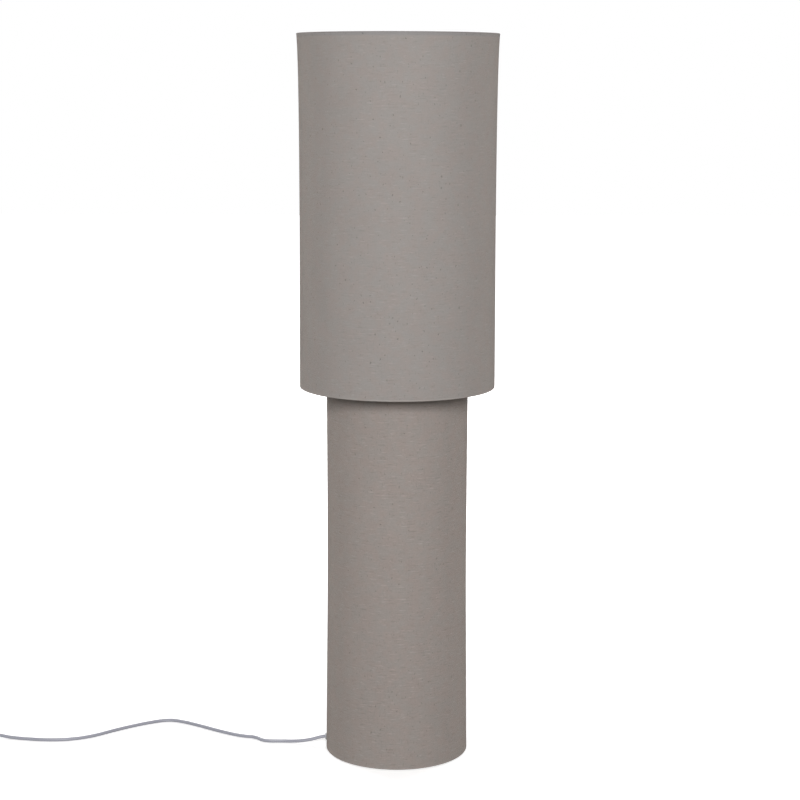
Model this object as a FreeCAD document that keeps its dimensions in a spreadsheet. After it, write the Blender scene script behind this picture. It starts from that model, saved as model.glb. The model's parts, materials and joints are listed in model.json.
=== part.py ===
import FreeCAD, Part
import math
import os
import Sketcher

# Column floor lamp: a fabric column on a steel base carries a wider fabric shade, one E27 lamp inside.
# Millimetres, +Z up. The origin is the middle of the lamp's foot, on the floor.

SIZES = [
    # column and shade, over their fabric
    ("column_height", 705.0, "floor to the column's upper rim"),
    ("column_radius", 126.8, "column over its fabric, above the taper"),
    ("column_foot_flare", 3.1, "lower rim beyond that radius"),
    ("column_taper", 340.0, "height over which the column runs out to its lower rim"),
    ("column_floor_gap", 1.0, "lower rim above the floor"),
    ("shade_height", 625.0, "shade between its rims"),
    ("shade_radius", 174.9, "shade over its fabric, below the taper"),
    ("shade_head_flare", 3.3, "upper rim beyond that radius"),
    ("shade_taper", 113.0, "height over which the shade runs out to its upper rim"),
    ("shade_overlap", 27.0, "how far the shade hangs over the column"),
    ("fabric_thickness", 0.7, "covering fabric"),
    ("liner_thickness", 0.8, "stiff white film behind the fabric"),
    ("skin_clearance", 0.15, "fabric to film and to wire"),
    ("rim_wire", 4.0, "diameter of the rim rings"),
    ("hem_reach", 4.5, "fabric turned in behind a rim ring"),
    # frames
    ("arm_wire", 2.5, "diameter of the frame arms"),
    ("arm_bend", 9.0, "bend radius of the frame arms"),
    ("foot_arm_bend", 5.0, "bend radius of the arms beside the base plate"),
    ("arm_inset", 0.65, "arm inside the middle of its ring"),
    ("arm_lean", 0.5, "how far the shade's arms lean in"),
    ("hub_radius", 17.0, "hub plates on the pole"),
    ("hub_thickness", 2.0, "hub plates and the shade's fitter"),
    ("column_head_drop", 26.0, "column's upper hub below its rim ring"),
    ("fitter_radius", 29.0, "shade's fitter plate"),
    ("fitter_height", 820.0, "shade's fitter above the floor"),
    # base and pole
    ("pad_radius", 116.0, "felt disc under the base"),
    ("pad_thickness", 1.5, "felt disc under the base"),
    ("base_thickness", 8.0, "steel base plate"),
    ("base_clearance", 0.5, "base plate to the turned-in hem"),
    ("base_chamfer", 1.0, "edges of the base plate"),
    ("bolt_diameter", 10.0, "hollow threaded rods"),
    ("bolt_bore", 7.0, "way for the lead through the rods"),
    ("thread_clearance", 0.1, "rod in a threaded bore, on the diameter"),
    ("bolt_hole", 10.6, "plain hole for a rod"),
    ("counterbore_radius", 13.0, "recess under the base plate"),
    ("counterbore_depth", 5.5, "recess under the base plate"),
    ("washer_radius", 11.0, "washer in the recess"),
    ("washer_thickness", 1.2, "washer in the recess"),
    ("nut_width", 14.0, "hexagon nut across its flats"),
    ("nut_height", 3.2, "hexagon nut"),
    ("pole_diameter", 16.0, "pole tubes"),
    ("pole_wall", 1.5, "pole tubes"),
    ("bush_length", 14.0, "threaded bushes in the pole's ends"),
    ("bush_clearance", 0.1, "bush in the pole, on the diameter"),
    ("slot_width", 7.6, "slot that the lead enters the pole by"),
    ("slot_low", 74.0, "lower end of that slot"),
    ("slot_high", 116.0, "upper end of that slot"),
    # lampholder, from its foot
    ("holder_neck_radius", 9.0, "neck on the pole"),
    ("holder_neck_height", 5.0, "neck on the pole"),
    ("holder_cap_radius", 21.0, "dome"),
    ("holder_cap_height", 23.0, "dome and neck"),
    ("holder_shoulder_radius", 24.5, "shoulder that the fitter rests on"),
    ("holder_shoulder_depth", 3.0, "shoulder that the fitter rests on"),
    ("holder_skirt_radius", 19.8, "threaded skirt"),
    ("holder_skirt_height", 26.0, "threaded skirt above the shoulder"),
    ("holder_wall", 2.2, "cap and skirt"),
    ("holder_clearance", 0.3, "loose fits in and on the lampholder"),
    ("shell_radius", 14.0, "brass screw shell, outside"),
    ("shell_wall", 0.4, "brass screw shell"),
    ("ring_flange_radius", 28.0, "shade ring's flange"),
    ("ring_flange_depth", 2.5, "shade ring's flange"),
    ("ring_collar_radius", 23.2, "shade ring's collar"),
    ("ring_height", 10.0, "shade ring"),
    ("ring_grip_count", 18.0, "grip ribs round the shade ring"),
    ("ring_grip_radius", 1.3, "one grip rib"),
    # lamp bulb, from its contact
    ("bulb_tip_radius", 4.8, "centre contact"),
    ("bulb_tip_depth", 2.0, "centre contact"),
    ("bulb_cap_radius", 13.0, "screw cap"),
    ("bulb_cap_height", 21.0, "screw cap with its insulator"),
    ("bulb_neck_radius", 13.6, "housing at the screw cap"),
    ("bulb_body_radius", 27.0, "housing at the globe"),
    ("bulb_body_height", 36.0, "housing"),
    ("bulb_globe_radius", 30.0, "globe"),
    ("bulb_globe_height", 49.0, "globe above the housing"),
    ("bulb_seam", 0.15, "joint lines between the bulb's pieces"),
    # cord and its gland
    ("cord_diameter", 6.0, "mains cord"),
    ("cord_height", 15.2, "cord's exit above the floor"),
    ("cord_bearing", 176.0, "cord's exit round the column, in degrees from +X"),
    ("gland_flange_radius", 6.6, "gland outside the wall"),
    ("gland_flange_depth", 2.2, "gland outside the wall"),
    ("gland_body_radius", 4.6, "gland through the wall"),
    ("gland_barb_radius", 5.4, "gland behind the wall"),
    ("gland_length", 9.0, "gland behind the wall"),
    ("gland_gap", 0.35, "gland's faces to the curved wall"),
    ("cord_play", 0.1, "cord in a bore, on the radius"),
    ("clamp_place", 80.0, "cord clamp from the middle"),
    ("clamp_width", 9.0, "cord clamp along the cord"),
    ("clamp_span", 24.0, "cord clamp across the cord"),
    ("clamp_wall", 1.6, "cord clamp"),
    ("screw_diameter", 3.0, "small screws"),
    ("screw_head_radius", 2.8, "small screws"),
    ("screw_head_height", 2.0, "small screws"),
    ("screw_reach", 5.5, "small screws below their heads"),
    ("core_diameter", 2.2, "insulated cores in the lampholder"),
    # foot switch, from the floor
    ("switch_radius", 31.0, "foot switch"),
    ("switch_floor", 2.0, "floor of the foot switch"),
    ("switch_rim", 9.0, "straight side of the foot switch"),
    ("switch_height", 21.0, "foot switch without its button"),
    ("switch_top_radius", 21.0, "flat top of the foot switch"),
    ("switch_wall", 2.0, "walls of the foot switch"),
    ("switch_seam", 0.2, "joint line between base and cover"),
    ("button_radius", 15.0, "foot button"),
    ("button_rise", 5.5, "foot button above the cover"),
    ("button_travel", 3.5, "foot button's stroke"),
    ("button_crown", 0.8, "foot button's crown over its flat edge"),
    ("button_skirt", 2.0, "flange that keeps the button in"),
    ("button_lip", 1.6, "how far that flange stands out"),
    ("button_clearance", 0.3, "button in its hole"),
    ("contact_depth", 5.0, "contact blocks, outwards"),
    ("contact_width", 12.0, "contact blocks, across"),
    ("spring_wire", 0.9, "spring under the button"),
    ("spring_radius", 6.0, "middle of the spring's wire"),
    ("spring_turns", 4.0, "spring under the button"),
    ("nozzle_radius", 5.0, "cord sleeves of switch and plug at their root"),
    ("nozzle_tip", 3.9, "cord sleeves of switch and plug at their tip"),
    ("nozzle_length", 20.0, "cord sleeves of switch and plug"),
    ("nozzle_height", 7.0, "cord's axis in the switch above the floor"),
    ("switch_east", -822.0, "middle of the foot switch"),
    ("switch_north", 57.5, "middle of the foot switch"),
    ("switch_bearing", 166.0, "way of the cord through the switch, in degrees from +X"),
    # coil and its tie
    ("coil_east", -913.7, "where the coil starts"),
    ("coil_north", 140.0, "where the coil starts"),
    ("coil_lift", 1.2, "coil above the floor, on its tie"),
    ("coil_inner_radius", 25.0, "innermost half turn"),
    ("coil_spacing", 6.5, "turn to turn, beside and above each other"),
    ("coil_turns_in", 4.0, "half turns of the lower layer"),
    ("coil_turns_out", 5.0, "half turns of the upper layer"),
    ("tie_width", 7.0, "band round the coil"),
    ("tie_thickness", 0.6, "band round the coil"),
    ("tie_clearance", 0.4, "band to the cord"),
    # plug
    ("plug_bearing", 125.0, "way of the cord into the plug, in degrees from +X"),
    ("plug_height", 7.5, "middle of the plug above the floor"),
    ("plug_thickness", 13.6, "plug body"),
    ("plug_width", 35.3, "plug body at its pins"),
    ("plug_waist", 13.0, "plug body at its cord"),
    ("plug_length", 37.0, "plug body"),
    ("plug_round", 4.5, "edges of the plug body"),
    ("pin_diameter", 4.0, "bare end of a pin"),
    ("pin_length", 19.0, "pin in front of the plug's face"),
    ("pin_bare", 9.0, "bare end of a pin"),
    ("pin_sleeve", 3.8, "insulated part of a pin"),
    ("pin_spread", 18.6, "pins, middle to middle"),
]

doc = FreeCAD.newDocument("column_floor_lamp")
sheet = doc.addObject("Spreadsheet::Sheet", "Sizes")


class Size:
    """A number that keeps the spreadsheet formula it comes from, so that features can be bound to it."""

    def __init__(self, number, formula):
        self.number = float(number)
        self.formula = formula

    def __float__(self):
        return self.number

    def __add__(self, other):
        other = as_size(other)
        return Size(self.number + other.number, f"({self.formula} + {other.formula})")

    def __radd__(self, other):
        return as_size(other) + self

    def __sub__(self, other):
        other = as_size(other)
        return Size(self.number - other.number, f"({self.formula} - {other.formula})")

    def __rsub__(self, other):
        return as_size(other) - self

    def __mul__(self, other):
        other = as_size(other)
        return Size(self.number * other.number, f"({self.formula} * {other.formula})")

    def __rmul__(self, other):
        return as_size(other) * self

    def __truediv__(self, other):
        other = as_size(other)
        return Size(self.number / other.number, f"({self.formula} / {other.formula})")

    def __neg__(self):
        return 0 - self


def as_size(value):
    """Plain numbers take part in formulas as they are."""
    return value if isinstance(value, Size) else Size(value, f"{value:g}")


class Sheet:
    """Gives the sheet's aliases as sizes: dims.pole_wall."""

    def __init__(self, rows):
        for row, (alias, number, note) in enumerate(rows, 1):
            sheet.set(f"A{row}", alias)
            sheet.set(f"B{row}", str(number))
            sheet.set(f"C{row}", note)
            sheet.setAlias(f"B{row}", alias)
            setattr(self, alias, Size(number, f"Sizes.{alias}"))


dims = Sheet(SIZES)
doc.recompute()

# Levels and radii that follow from the sizes.
hem = dims.fabric_thickness + dims.skin_clearance + dims.rim_wire / 2      # rim ring's middle to the fabric's outside
lining = dims.fabric_thickness + dims.skin_clearance                       # fabric's outside to the film's outside
shade_low = dims.column_height - dims.shade_overlap
shade_high = shade_low + dims.shade_height
column_foot_ring = dims.column_radius + dims.column_foot_flare - hem
column_head_ring = dims.column_radius - hem
shade_foot_ring = dims.shade_radius - hem
shade_head_ring = dims.shade_radius + dims.shade_head_flare - hem
base_low = dims.pad_thickness
base_top = base_low + dims.base_thickness
base_radius = column_foot_ring - hem - dims.base_clearance
pole_low = base_top + dims.hub_thickness
column_hub_low = dims.column_height - hem - dims.column_head_drop
column_hub_top = column_hub_low + dims.hub_thickness
holder_low = dims.fitter_height - dims.holder_cap_height - dims.holder_shoulder_depth
shoulder_top = dims.fitter_height
holder_top = shoulder_top + dims.holder_skirt_height
pole_bore = dims.pole_diameter / 2 - dims.pole_wall
bush_radius = pole_bore - dims.bush_clearance / 2
bolt_radius = dims.bolt_diameter / 2
thread_radius = bolt_radius + dims.thread_clearance / 2
bolt_hole_radius = dims.bolt_hole / 2
bulb_low = holder_top - dims.bulb_tip_depth - dims.bulb_cap_height - 2
bulb_body_low = bulb_low + dims.bulb_tip_depth + dims.bulb_cap_height
bulb_globe_low = bulb_body_low + dims.bulb_body_height
cord_radius = dims.cord_diameter / 2
bore_radius = cord_radius + dims.cord_play
screw_place = (bore_radius + dims.clamp_wall + dims.clamp_span / 2) / 2
cord_bearing = math.radians(float(dims.cord_bearing))
switch_bearing = math.radians(float(dims.switch_bearing))

parts = {}


def keep(label, feature, placement=None):
    """Names a finished sub-part, which is the solid of its own file."""
    feature.Label = label
    if placement:
        feature.Placement = placement
    parts[label] = feature
    return feature


def bind(feature, **properties):
    """Ties a feature's properties to the sheet."""
    for name, size in properties.items():
        feature.setExpression(name, as_size(size).formula)


def origin_item(body, role):
    return next(item for item in body.Origin.OriginFeatures if item.Role == role)


def point(x, y, z=0.0):
    return FreeCAD.Vector(float(x), float(y), float(z))


def at(x=0, y=0, z=0, turn=0.0, axis=(0, 0, 1)):
    """A place, turned by so many degrees about an axis."""
    return FreeCAD.Placement(point(x, y, z), FreeCAD.Rotation(FreeCAD.Vector(*axis), float(turn)))


def new_body(label):
    return keep(label, doc.addObject("PartDesign::Body", label))


def minor_arc(start, end, radius):
    """The short arc from start to end; its middle is left of the way for a positive radius, else right."""
    chord = end - start
    half = chord.Length / 2
    away = math.sqrt(radius * radius - half * half) * (1 if radius > 0 else -1)
    left = FreeCAD.Vector(-chord.y, chord.x, 0).normalize()
    middle = (start + end) / 2 + left * away
    first, last = (start, end) if radius > 0 else (end, start)
    from_angle = math.atan2(first.y - middle.y, first.x - middle.x)
    to_angle = math.atan2(last.y - middle.y, last.x - middle.x)
    if to_angle < from_angle:
        to_angle += 2 * math.pi
    circle = Part.Circle(middle, FreeCAD.Vector(0, 0, 1), abs(radius))
    return Part.ArcOfCircle(circle, from_angle, to_angle)


def new_sketch(body, name, role):
    sketch = body.newObject("Sketcher::SketchObject", name)
    sketch.AttachmentSupport = [(origin_item(body, role), "")]
    sketch.MapMode = "FlatFace"
    return sketch


def rule(sketch, kind, *values):
    """Adds a constraint; a size at its end is bound to the sheet."""
    size = values[-1]
    if not isinstance(size, Size):
        return sketch.addConstraint(Sketcher.Constraint(kind, *values))
    index = sketch.addConstraint(Sketcher.Constraint(kind, *values[:-1], float(size)))
    sketch.setExpression(f"Constraints[{index}]", size.formula)
    return index


def draw(sketch, corners, closed=True):
    """Draws an outline whose corners are tied to the sheet.

    A corner is (x, y), or (x, y, radius) where an arc leads from it to the next one, see minor_arc.
    """
    places = [point(corner[0], corner[1]) for corner in corners]
    count = len(corners) if closed else len(corners) - 1
    ends = []
    for number in range(count):
        corner = corners[number]
        start = places[number]
        end = places[(number + 1) % len(corners)]
        if len(corner) == 3:
            edge = sketch.addGeometry(minor_arc(start, end, float(corner[2])), False)
            ends.append((edge, 1, 2) if float(corner[2]) > 0 else (edge, 2, 1))
            size = as_size(corner[2])
            rule(sketch, "Radius", edge, size if float(size) > 0 else -size)
        else:
            edge = sketch.addGeometry(Part.LineSegment(start, end), False)
            ends.append((edge, 1, 2))
    for number in range(count):
        edge, near, far = ends[number]
        if closed or number < count - 1:
            following = ends[(number + 1) % count]
            rule(sketch, "Coincident", edge, far, following[0], following[1])
        pin(sketch, edge, near, corners[number])
    if not closed:
        pin(sketch, ends[-1][0], ends[-1][2], corners[-1])
    return sketch


def pin(sketch, edge, end, corner):
    """Holds one end of an edge at its corner's place."""
    for kind, axis, size in (("DistanceX", -2, corner[0]), ("DistanceY", -1, corner[1])):
        if float(size) == 0.0:
            rule(sketch, "PointOnObject", edge, end, axis)
        else:
            rule(sketch, kind, -1, 1, edge, end, as_size(size))


def circle(sketch, x, y, radius):
    """A circle tied to the sheet."""
    edge = sketch.addGeometry(Part.Circle(point(x, y), FreeCAD.Vector(0, 0, 1), float(radius)), False)
    pin(sketch, edge, 3, (x, y))
    rule(sketch, "Radius", edge, as_size(radius))
    return sketch


def spin(body, name, corners, kind="PartDesign::Revolution"):
    """Turns an outline of (radius, height) corners about the body's Z axis."""
    sketch = draw(new_sketch(body, name + "_section", "XZ_Plane"), corners)
    feature = body.newObject(kind, name)
    feature.Profile = sketch
    feature.ReferenceAxis = (sketch, ["V_Axis"])
    feature.Angle = 360
    return feature


def turned(label, corners, placement=None):
    """A piece turned about its own axis."""
    body = new_body(label)
    spin(body, label + "_turn", corners)
    if placement:
        body.Placement = placement
    return body


def box_section(inner, outer, low, high):
    return [(inner, low), (outer, low), (outer, high), (inner, high)]


def padded(body, name, sketch, length, both_ways=False):
    feature = body.newObject("PartDesign::Pad", name)
    feature.Profile = sketch
    bind(feature, Length=length)
    feature.Midplane = both_ways
    return feature


def around(body, name, feature, count):
    """Repeats a feature round the body's Z axis."""
    pattern = body.newObject("PartDesign::PolarPattern", name)
    pattern.Originals = [feature]
    pattern.Axis = (origin_item(body, "Z_Axis"), [""])
    pattern.Angle = 360
    bind(pattern, Occurrences=count)
    body.Tip = pattern
    return pattern


def shape_part(label, shape, placement=None):
    """A sub-part whose solid comes from curves that no sketch feature draws."""
    feature = doc.addObject("Part::Feature", label)
    feature.Shape = shape
    return keep(label, feature, placement)


def primitive(kind, name, placement=None, **sizes):
    feature = doc.addObject(kind, name)
    bind(feature, **sizes)
    if placement:
        feature.Placement = placement
    return feature


# ---- fabric walls -------------------------------------------------------------------------------------------------

class Wall:
    """A round fabric wall between two rims, given by its outside; it may run out in a taper to either rim."""

    def __init__(self, radius, low, high, foot_flare=0, foot_taper=None, head_flare=0, head_taper=None):
        self.low, self.high = low, high
        self.foot, self.head = radius + foot_flare, radius + head_flare
        self.knees = []
        if foot_taper:
            self.knees.append((radius, low + foot_taper))
        if head_taper:
            self.knees.append((radius, high - head_taper))

    def line(self, inset, short):
        """The wall's line in section, a given way inside the fabric's outside and short of both rims."""
        corners = [(self.foot, self.low + short)] + self.knees + [(self.head, self.high - short)]
        return [(radius - inset, height) for radius, height in corners]


column_wall = Wall(dims.column_radius, dims.column_floor_gap, dims.column_height,
                   foot_flare=dims.column_foot_flare, foot_taper=dims.column_taper)
shade_wall = Wall(dims.shade_radius, shade_low, shade_high,
                  head_flare=dims.shade_head_flare, head_taper=dims.shade_taper)


def sided(x, y, radius, sides=8):
    """Corners round a centre, from +X; drawn wire and cord are modelled with flat sides."""
    turns = [2 * math.pi / sides * number for number in range(sides)]
    return [(x + radius * round(math.cos(turn), 6), y + radius * round(math.sin(turn), 6)) for turn in turns]


def over_rim(rim, height, way):
    """The hem in section, from the wall's outside to its inside: over the rim ring, down behind it and back."""
    ring = rim - hem
    inside = hem - dims.fabric_thickness
    soft = hem / 3
    edge = height - way * dims.hem_reach
    crown = height + way * hem
    return [
        (rim, crown - way * soft), (rim - soft, crown), (ring - hem + soft, crown), (ring - hem, crown - way * soft),
        (ring - hem, edge), (ring - inside, edge), (ring - inside, height + way * inside),
        (ring + inside, height + way * inside),
    ]


def fabric_cover(label, wall, hole=False):
    """Fabric glued over the film and rolled round both rim rings."""
    outside = wall.line(0, hem)[1:-1]
    inside = wall.line(dims.fabric_thickness, hem)[1:-1]
    head = over_rim(wall.head, wall.high - hem, 1)
    foot = over_rim(wall.foot, wall.low + hem, -1)
    return wall_body(label, outside + head + inside[::-1] + foot[::-1], hole)


def film_liner(label, wall, hole=False):
    """The stiff film behind the fabric, standing between the two rim rings."""
    short = hem + dims.rim_wire / 2 + dims.skin_clearance
    return wall_body(label, wall.line(lining + dims.liner_thickness, short)[::-1] + wall.line(lining, short), hole)


def wall_body(label, corners, hole):
    """A round wall from its section, with a hole for the cord's gland if it has one."""
    body = new_body(label)
    spin(body, label + "_turn", corners)
    if hole:
        outline = new_sketch(body, label + "_hole_outline", "YZ_Plane")
        circle(outline, 0, dims.cord_height, dims.gland_body_radius + dims.gland_gap)
        pocket = body.newObject("PartDesign::Pocket", label + "_hole")
        pocket.Profile = outline
        pocket.Reversed = True
        bind(pocket, Length=2 * dims.column_radius)
        body.Placement = at(turn=float(dims.cord_bearing))
    return body


def build_walls():
    fabric_cover("column_cover", column_wall, hole=True)
    film_liner("column_liner", column_wall, hole=True)
    fabric_cover("shade_cover", shade_wall)
    film_liner("shade_liner", shade_wall)


# ---- wire frames --------------------------------------------------------------------------------------------------

def wire_frame(label, ring, ring_height, hub, hub_low, hole, arm_height, bend, lean=0):
    """A rim ring with three bent arms on a hub plate.

    Each arm leaves the hub level, bends, and runs to the ring, leaning in towards the bend.
    """
    body = new_body(label)
    spin(body, label + "_ring", sided(ring, ring_height, dims.rim_wire / 2, 6))
    spin(body, label + "_hub", box_section(hole, hub, hub_low, hub_low + dims.hub_thickness))
    way = 1 if float(arm_height) > float(ring_height) else -1
    weld = dims.rim_wire / 2 - dims.arm_wire / 4
    path = new_sketch(body, label + "_arm_path", "XZ_Plane")
    foot = (ring - dims.arm_inset, ring_height + way * weld)
    knee = (ring - dims.arm_inset - lean, arm_height - way * bend)
    bend_east = knee[0] - bend
    start = (hub - dims.arm_wire, arm_height)
    draw(path, [start, (bend_east, arm_height, -way * bend), knee, foot], closed=False)
    profile = new_sketch(body, label + "_arm_section", "YZ_Plane")
    bind(profile, **{"AttachmentOffset.Base.z": start[0]})
    draw(profile, sided(0, arm_height, dims.arm_wire / 2))
    arm = body.newObject("PartDesign::AdditivePipe", label + "_arm")
    arm.Profile = profile
    arm.Spine = (path, [])
    around(body, label + "_arms", arm, 3)
    return body


def build_frames():
    weld = dims.arm_wire / 2 - 0.2
    foot_height = dims.column_floor_gap + hem
    wire_frame("column_foot_frame", column_foot_ring, foot_height, dims.hub_radius, base_top, bolt_hole_radius,
               base_top + dims.hub_thickness + weld, dims.foot_arm_bend)
    wire_frame("column_head_frame", column_head_ring, dims.column_height - hem, dims.hub_radius, column_hub_low,
               bolt_hole_radius, column_hub_top + weld, dims.arm_bend)
    wire_frame("shade_frame", shade_foot_ring, shade_low + hem, dims.fitter_radius, dims.fitter_height,
               dims.holder_skirt_radius + dims.holder_clearance, dims.fitter_height - weld, dims.arm_bend,
               dims.arm_lean)
    turned("shade_head_ring", sided(shade_head_ring, shade_high - hem, dims.rim_wire / 2, 6))


# ---- base and pole ------------------------------------------------------------------------------------------------

def tube(label, inner, outer, low, high):
    return turned(label, box_section(inner, outer, low, high))


def screw_holes(body, name, east, top, depth):
    """The holes for the clamp's two screws."""
    outline = new_sketch(body, name + "_outline", "XY_Plane")
    bind(outline, **{"AttachmentOffset.Base.z": top})
    for side in (-1, 1):
        circle(outline, east, side * screw_place, (dims.screw_diameter + dims.thread_clearance) / 2)
    pocket = body.newObject("PartDesign::Pocket", name)
    pocket.Profile = outline
    bind(pocket, Length=depth)


def build_base():
    pad = primitive("Part::Cylinder", "foot_pad", Radius=dims.pad_radius, Height=dims.pad_thickness)
    keep("foot_pad", pad)
    recess = base_low + dims.counterbore_depth
    plate = turned("base_plate", [
        (bolt_hole_radius, recess), (dims.counterbore_radius, recess), (dims.counterbore_radius, base_low),
        (base_radius - dims.base_chamfer, base_low), (base_radius, base_low + dims.base_chamfer),
        (base_radius, base_top - dims.base_chamfer), (base_radius - dims.base_chamfer, base_top),
        (bolt_hole_radius, base_top),
    ])
    screw_holes(plate, "clamp_screw_holes", dims.clamp_place, base_top, dims.screw_reach)
    plate.Placement = at(turn=float(dims.cord_bearing))
    washer_low = recess - dims.washer_thickness
    tube("base_washer", bolt_hole_radius, dims.washer_radius, washer_low, recess)
    hexagon = primitive("Part::Prism", "nut_blank", Circumradius=dims.nut_width / math.sqrt(3), Height=dims.nut_height,
                        **{"Placement.Base.z": washer_low - dims.nut_height})
    hexagon.Polygon = 6
    thread = primitive("Part::Cylinder", "nut_thread", Radius=thread_radius, Height=recess)
    nut = doc.addObject("Part::Cut", "base_nut")
    nut.Base = hexagon
    nut.Tool = thread
    keep("base_nut", nut)
    tube("base_bolt", dims.bolt_bore / 2, bolt_radius, base_low + 0.5, pole_low + dims.bush_length)


def build_pole():
    outer = dims.pole_diameter / 2
    lower = tube("lower_pole", pole_bore, outer, pole_low, column_hub_low)
    slot = draw(new_sketch(lower, "lead_slot_outline", "YZ_Plane"), [
        (-dims.slot_width / 2, dims.slot_low), (dims.slot_width / 2, dims.slot_low),
        (dims.slot_width / 2, dims.slot_high), (-dims.slot_width / 2, dims.slot_high),
    ])
    pocket = lower.newObject("PartDesign::Pocket", "lead_slot")
    pocket.Profile = slot
    bind(pocket, Length=dims.pole_diameter)
    lower.Placement = at(turn=float(dims.cord_bearing) - 180)
    tube("upper_pole", pole_bore, outer, column_hub_top, holder_low)
    bushes = new_body("pole_bushes")
    for number, low in enumerate((pole_low, column_hub_low - dims.bush_length,
                                  column_hub_top, holder_low - dims.bush_length), 1):
        bush = box_section(thread_radius, bush_radius, low, low + dims.bush_length)
        spin(bushes, f"pole_bush_{number}", bush)
    tube("pole_joiner", dims.bolt_bore / 2, bolt_radius, column_hub_low - dims.bush_length + 1,
         column_hub_top + dims.bush_length - 1)
    tube("holder_bolt", dims.bolt_bore / 2, bolt_radius, holder_low - dims.bush_length + 1,
         holder_low + dims.holder_neck_height + 2)


# ---- lampholder ---------------------------------------------------------------------------------------------------

def build_lampholder():
    cap_top = holder_low + dims.holder_cap_height
    neck_top = holder_low + dims.holder_neck_height
    wall = dims.holder_wall
    dome = dims.holder_cap_radius - dims.holder_neck_radius
    turned("holder_cap", [
        (thread_radius, holder_low), (dims.holder_neck_radius, holder_low), (dims.holder_neck_radius, neck_top),
        (dims.holder_cap_radius - dome / 3, neck_top + dome / 3), (dims.holder_cap_radius, neck_top + dome),
        (dims.holder_cap_radius, cap_top), (dims.holder_cap_radius - wall, cap_top),
        (dims.holder_cap_radius - wall, neck_top + dome), (dims.holder_cap_radius - wall - dome / 3,
                                                           neck_top + dome / 3 + wall),
        (dims.holder_neck_radius, neck_top + wall), (thread_radius, neck_top + wall),
    ])
    skirt_low = cap_top
    inner = dims.shell_radius + dims.holder_clearance
    bore = dims.holder_cap_radius - wall - 2 * dims.holder_clearance
    turned("holder_skirt", [
        (bore - wall, skirt_low - 4), (bore, skirt_low - 4), (bore, skirt_low),
        (dims.holder_shoulder_radius, skirt_low), (dims.holder_shoulder_radius, shoulder_top),
        (dims.holder_skirt_radius, shoulder_top), (dims.holder_skirt_radius, holder_top - 1),
        (dims.holder_skirt_radius - 1, holder_top), (inner, holder_top), (inner, holder_top - 2),
        (bore - wall, holder_top - 2),
    ])
    insert_low = skirt_low - 5
    insert_top = bulb_low - 1.2
    turned("holder_insert", [
        (0, insert_low), (bore - wall - dims.holder_clearance, insert_low),
        (bore - wall - dims.holder_clearance, insert_top), (0, insert_top),
    ])
    tube("screw_shell", dims.shell_radius - dims.shell_wall, dims.shell_radius, insert_top,
         holder_top - 2 - dims.holder_clearance)
    contact = new_body("centre_contact")
    strip = draw(new_sketch(contact, "contact_outline", "XZ_Plane"), [
        (-6, insert_top), (2, insert_top), (2, insert_top + 0.5), (0, insert_top + 0.5),
        (3, insert_top + 0.9), (3, insert_top + 1.2), (-1, insert_top + 1.1), (-6, insert_top + 0.5),
    ])
    padded(contact, "contact_strip", strip, as_size(5), both_ways=True)
    terminals = new_body("holder_terminals")
    for number, side in enumerate((-1, 1), 1):
        end = new_sketch(terminals, f"terminal_outline_{number}", "XY_Plane")
        bind(end, **{"AttachmentOffset.Base.z": insert_low - 5})
        circle(end, side * 8, 0, 2.5)
        padded(terminals, f"terminal_{number}", end, as_size(5))


def build_shade_ring():
    """The nut that holds the shade's fitter down on the lampholder's shoulder."""
    body = new_body("shade_ring")
    low = shoulder_top + dims.hub_thickness + dims.holder_clearance
    inner = dims.holder_skirt_radius + dims.holder_clearance
    spin(body, "shade_ring_turn", [
        (inner, low), (dims.ring_flange_radius, low), (dims.ring_flange_radius, low + dims.ring_flange_depth),
        (dims.ring_collar_radius, low + dims.ring_flange_depth), (dims.ring_collar_radius, low + dims.ring_height),
        (inner, low + dims.ring_height),
    ])
    sketch = new_sketch(body, "grip_outline", "XY_Plane")
    bind(sketch, **{"AttachmentOffset.Base.z": low + dims.ring_flange_depth / 2})
    circle(sketch, dims.ring_collar_radius, 0, dims.ring_grip_radius)
    grip = padded(body, "grip", sketch, dims.ring_height - dims.ring_flange_depth / 2)
    around(body, "grips", grip, dims.ring_grip_count)


# ---- bulb ---------------------------------------------------------------------------------------------------------

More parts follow.
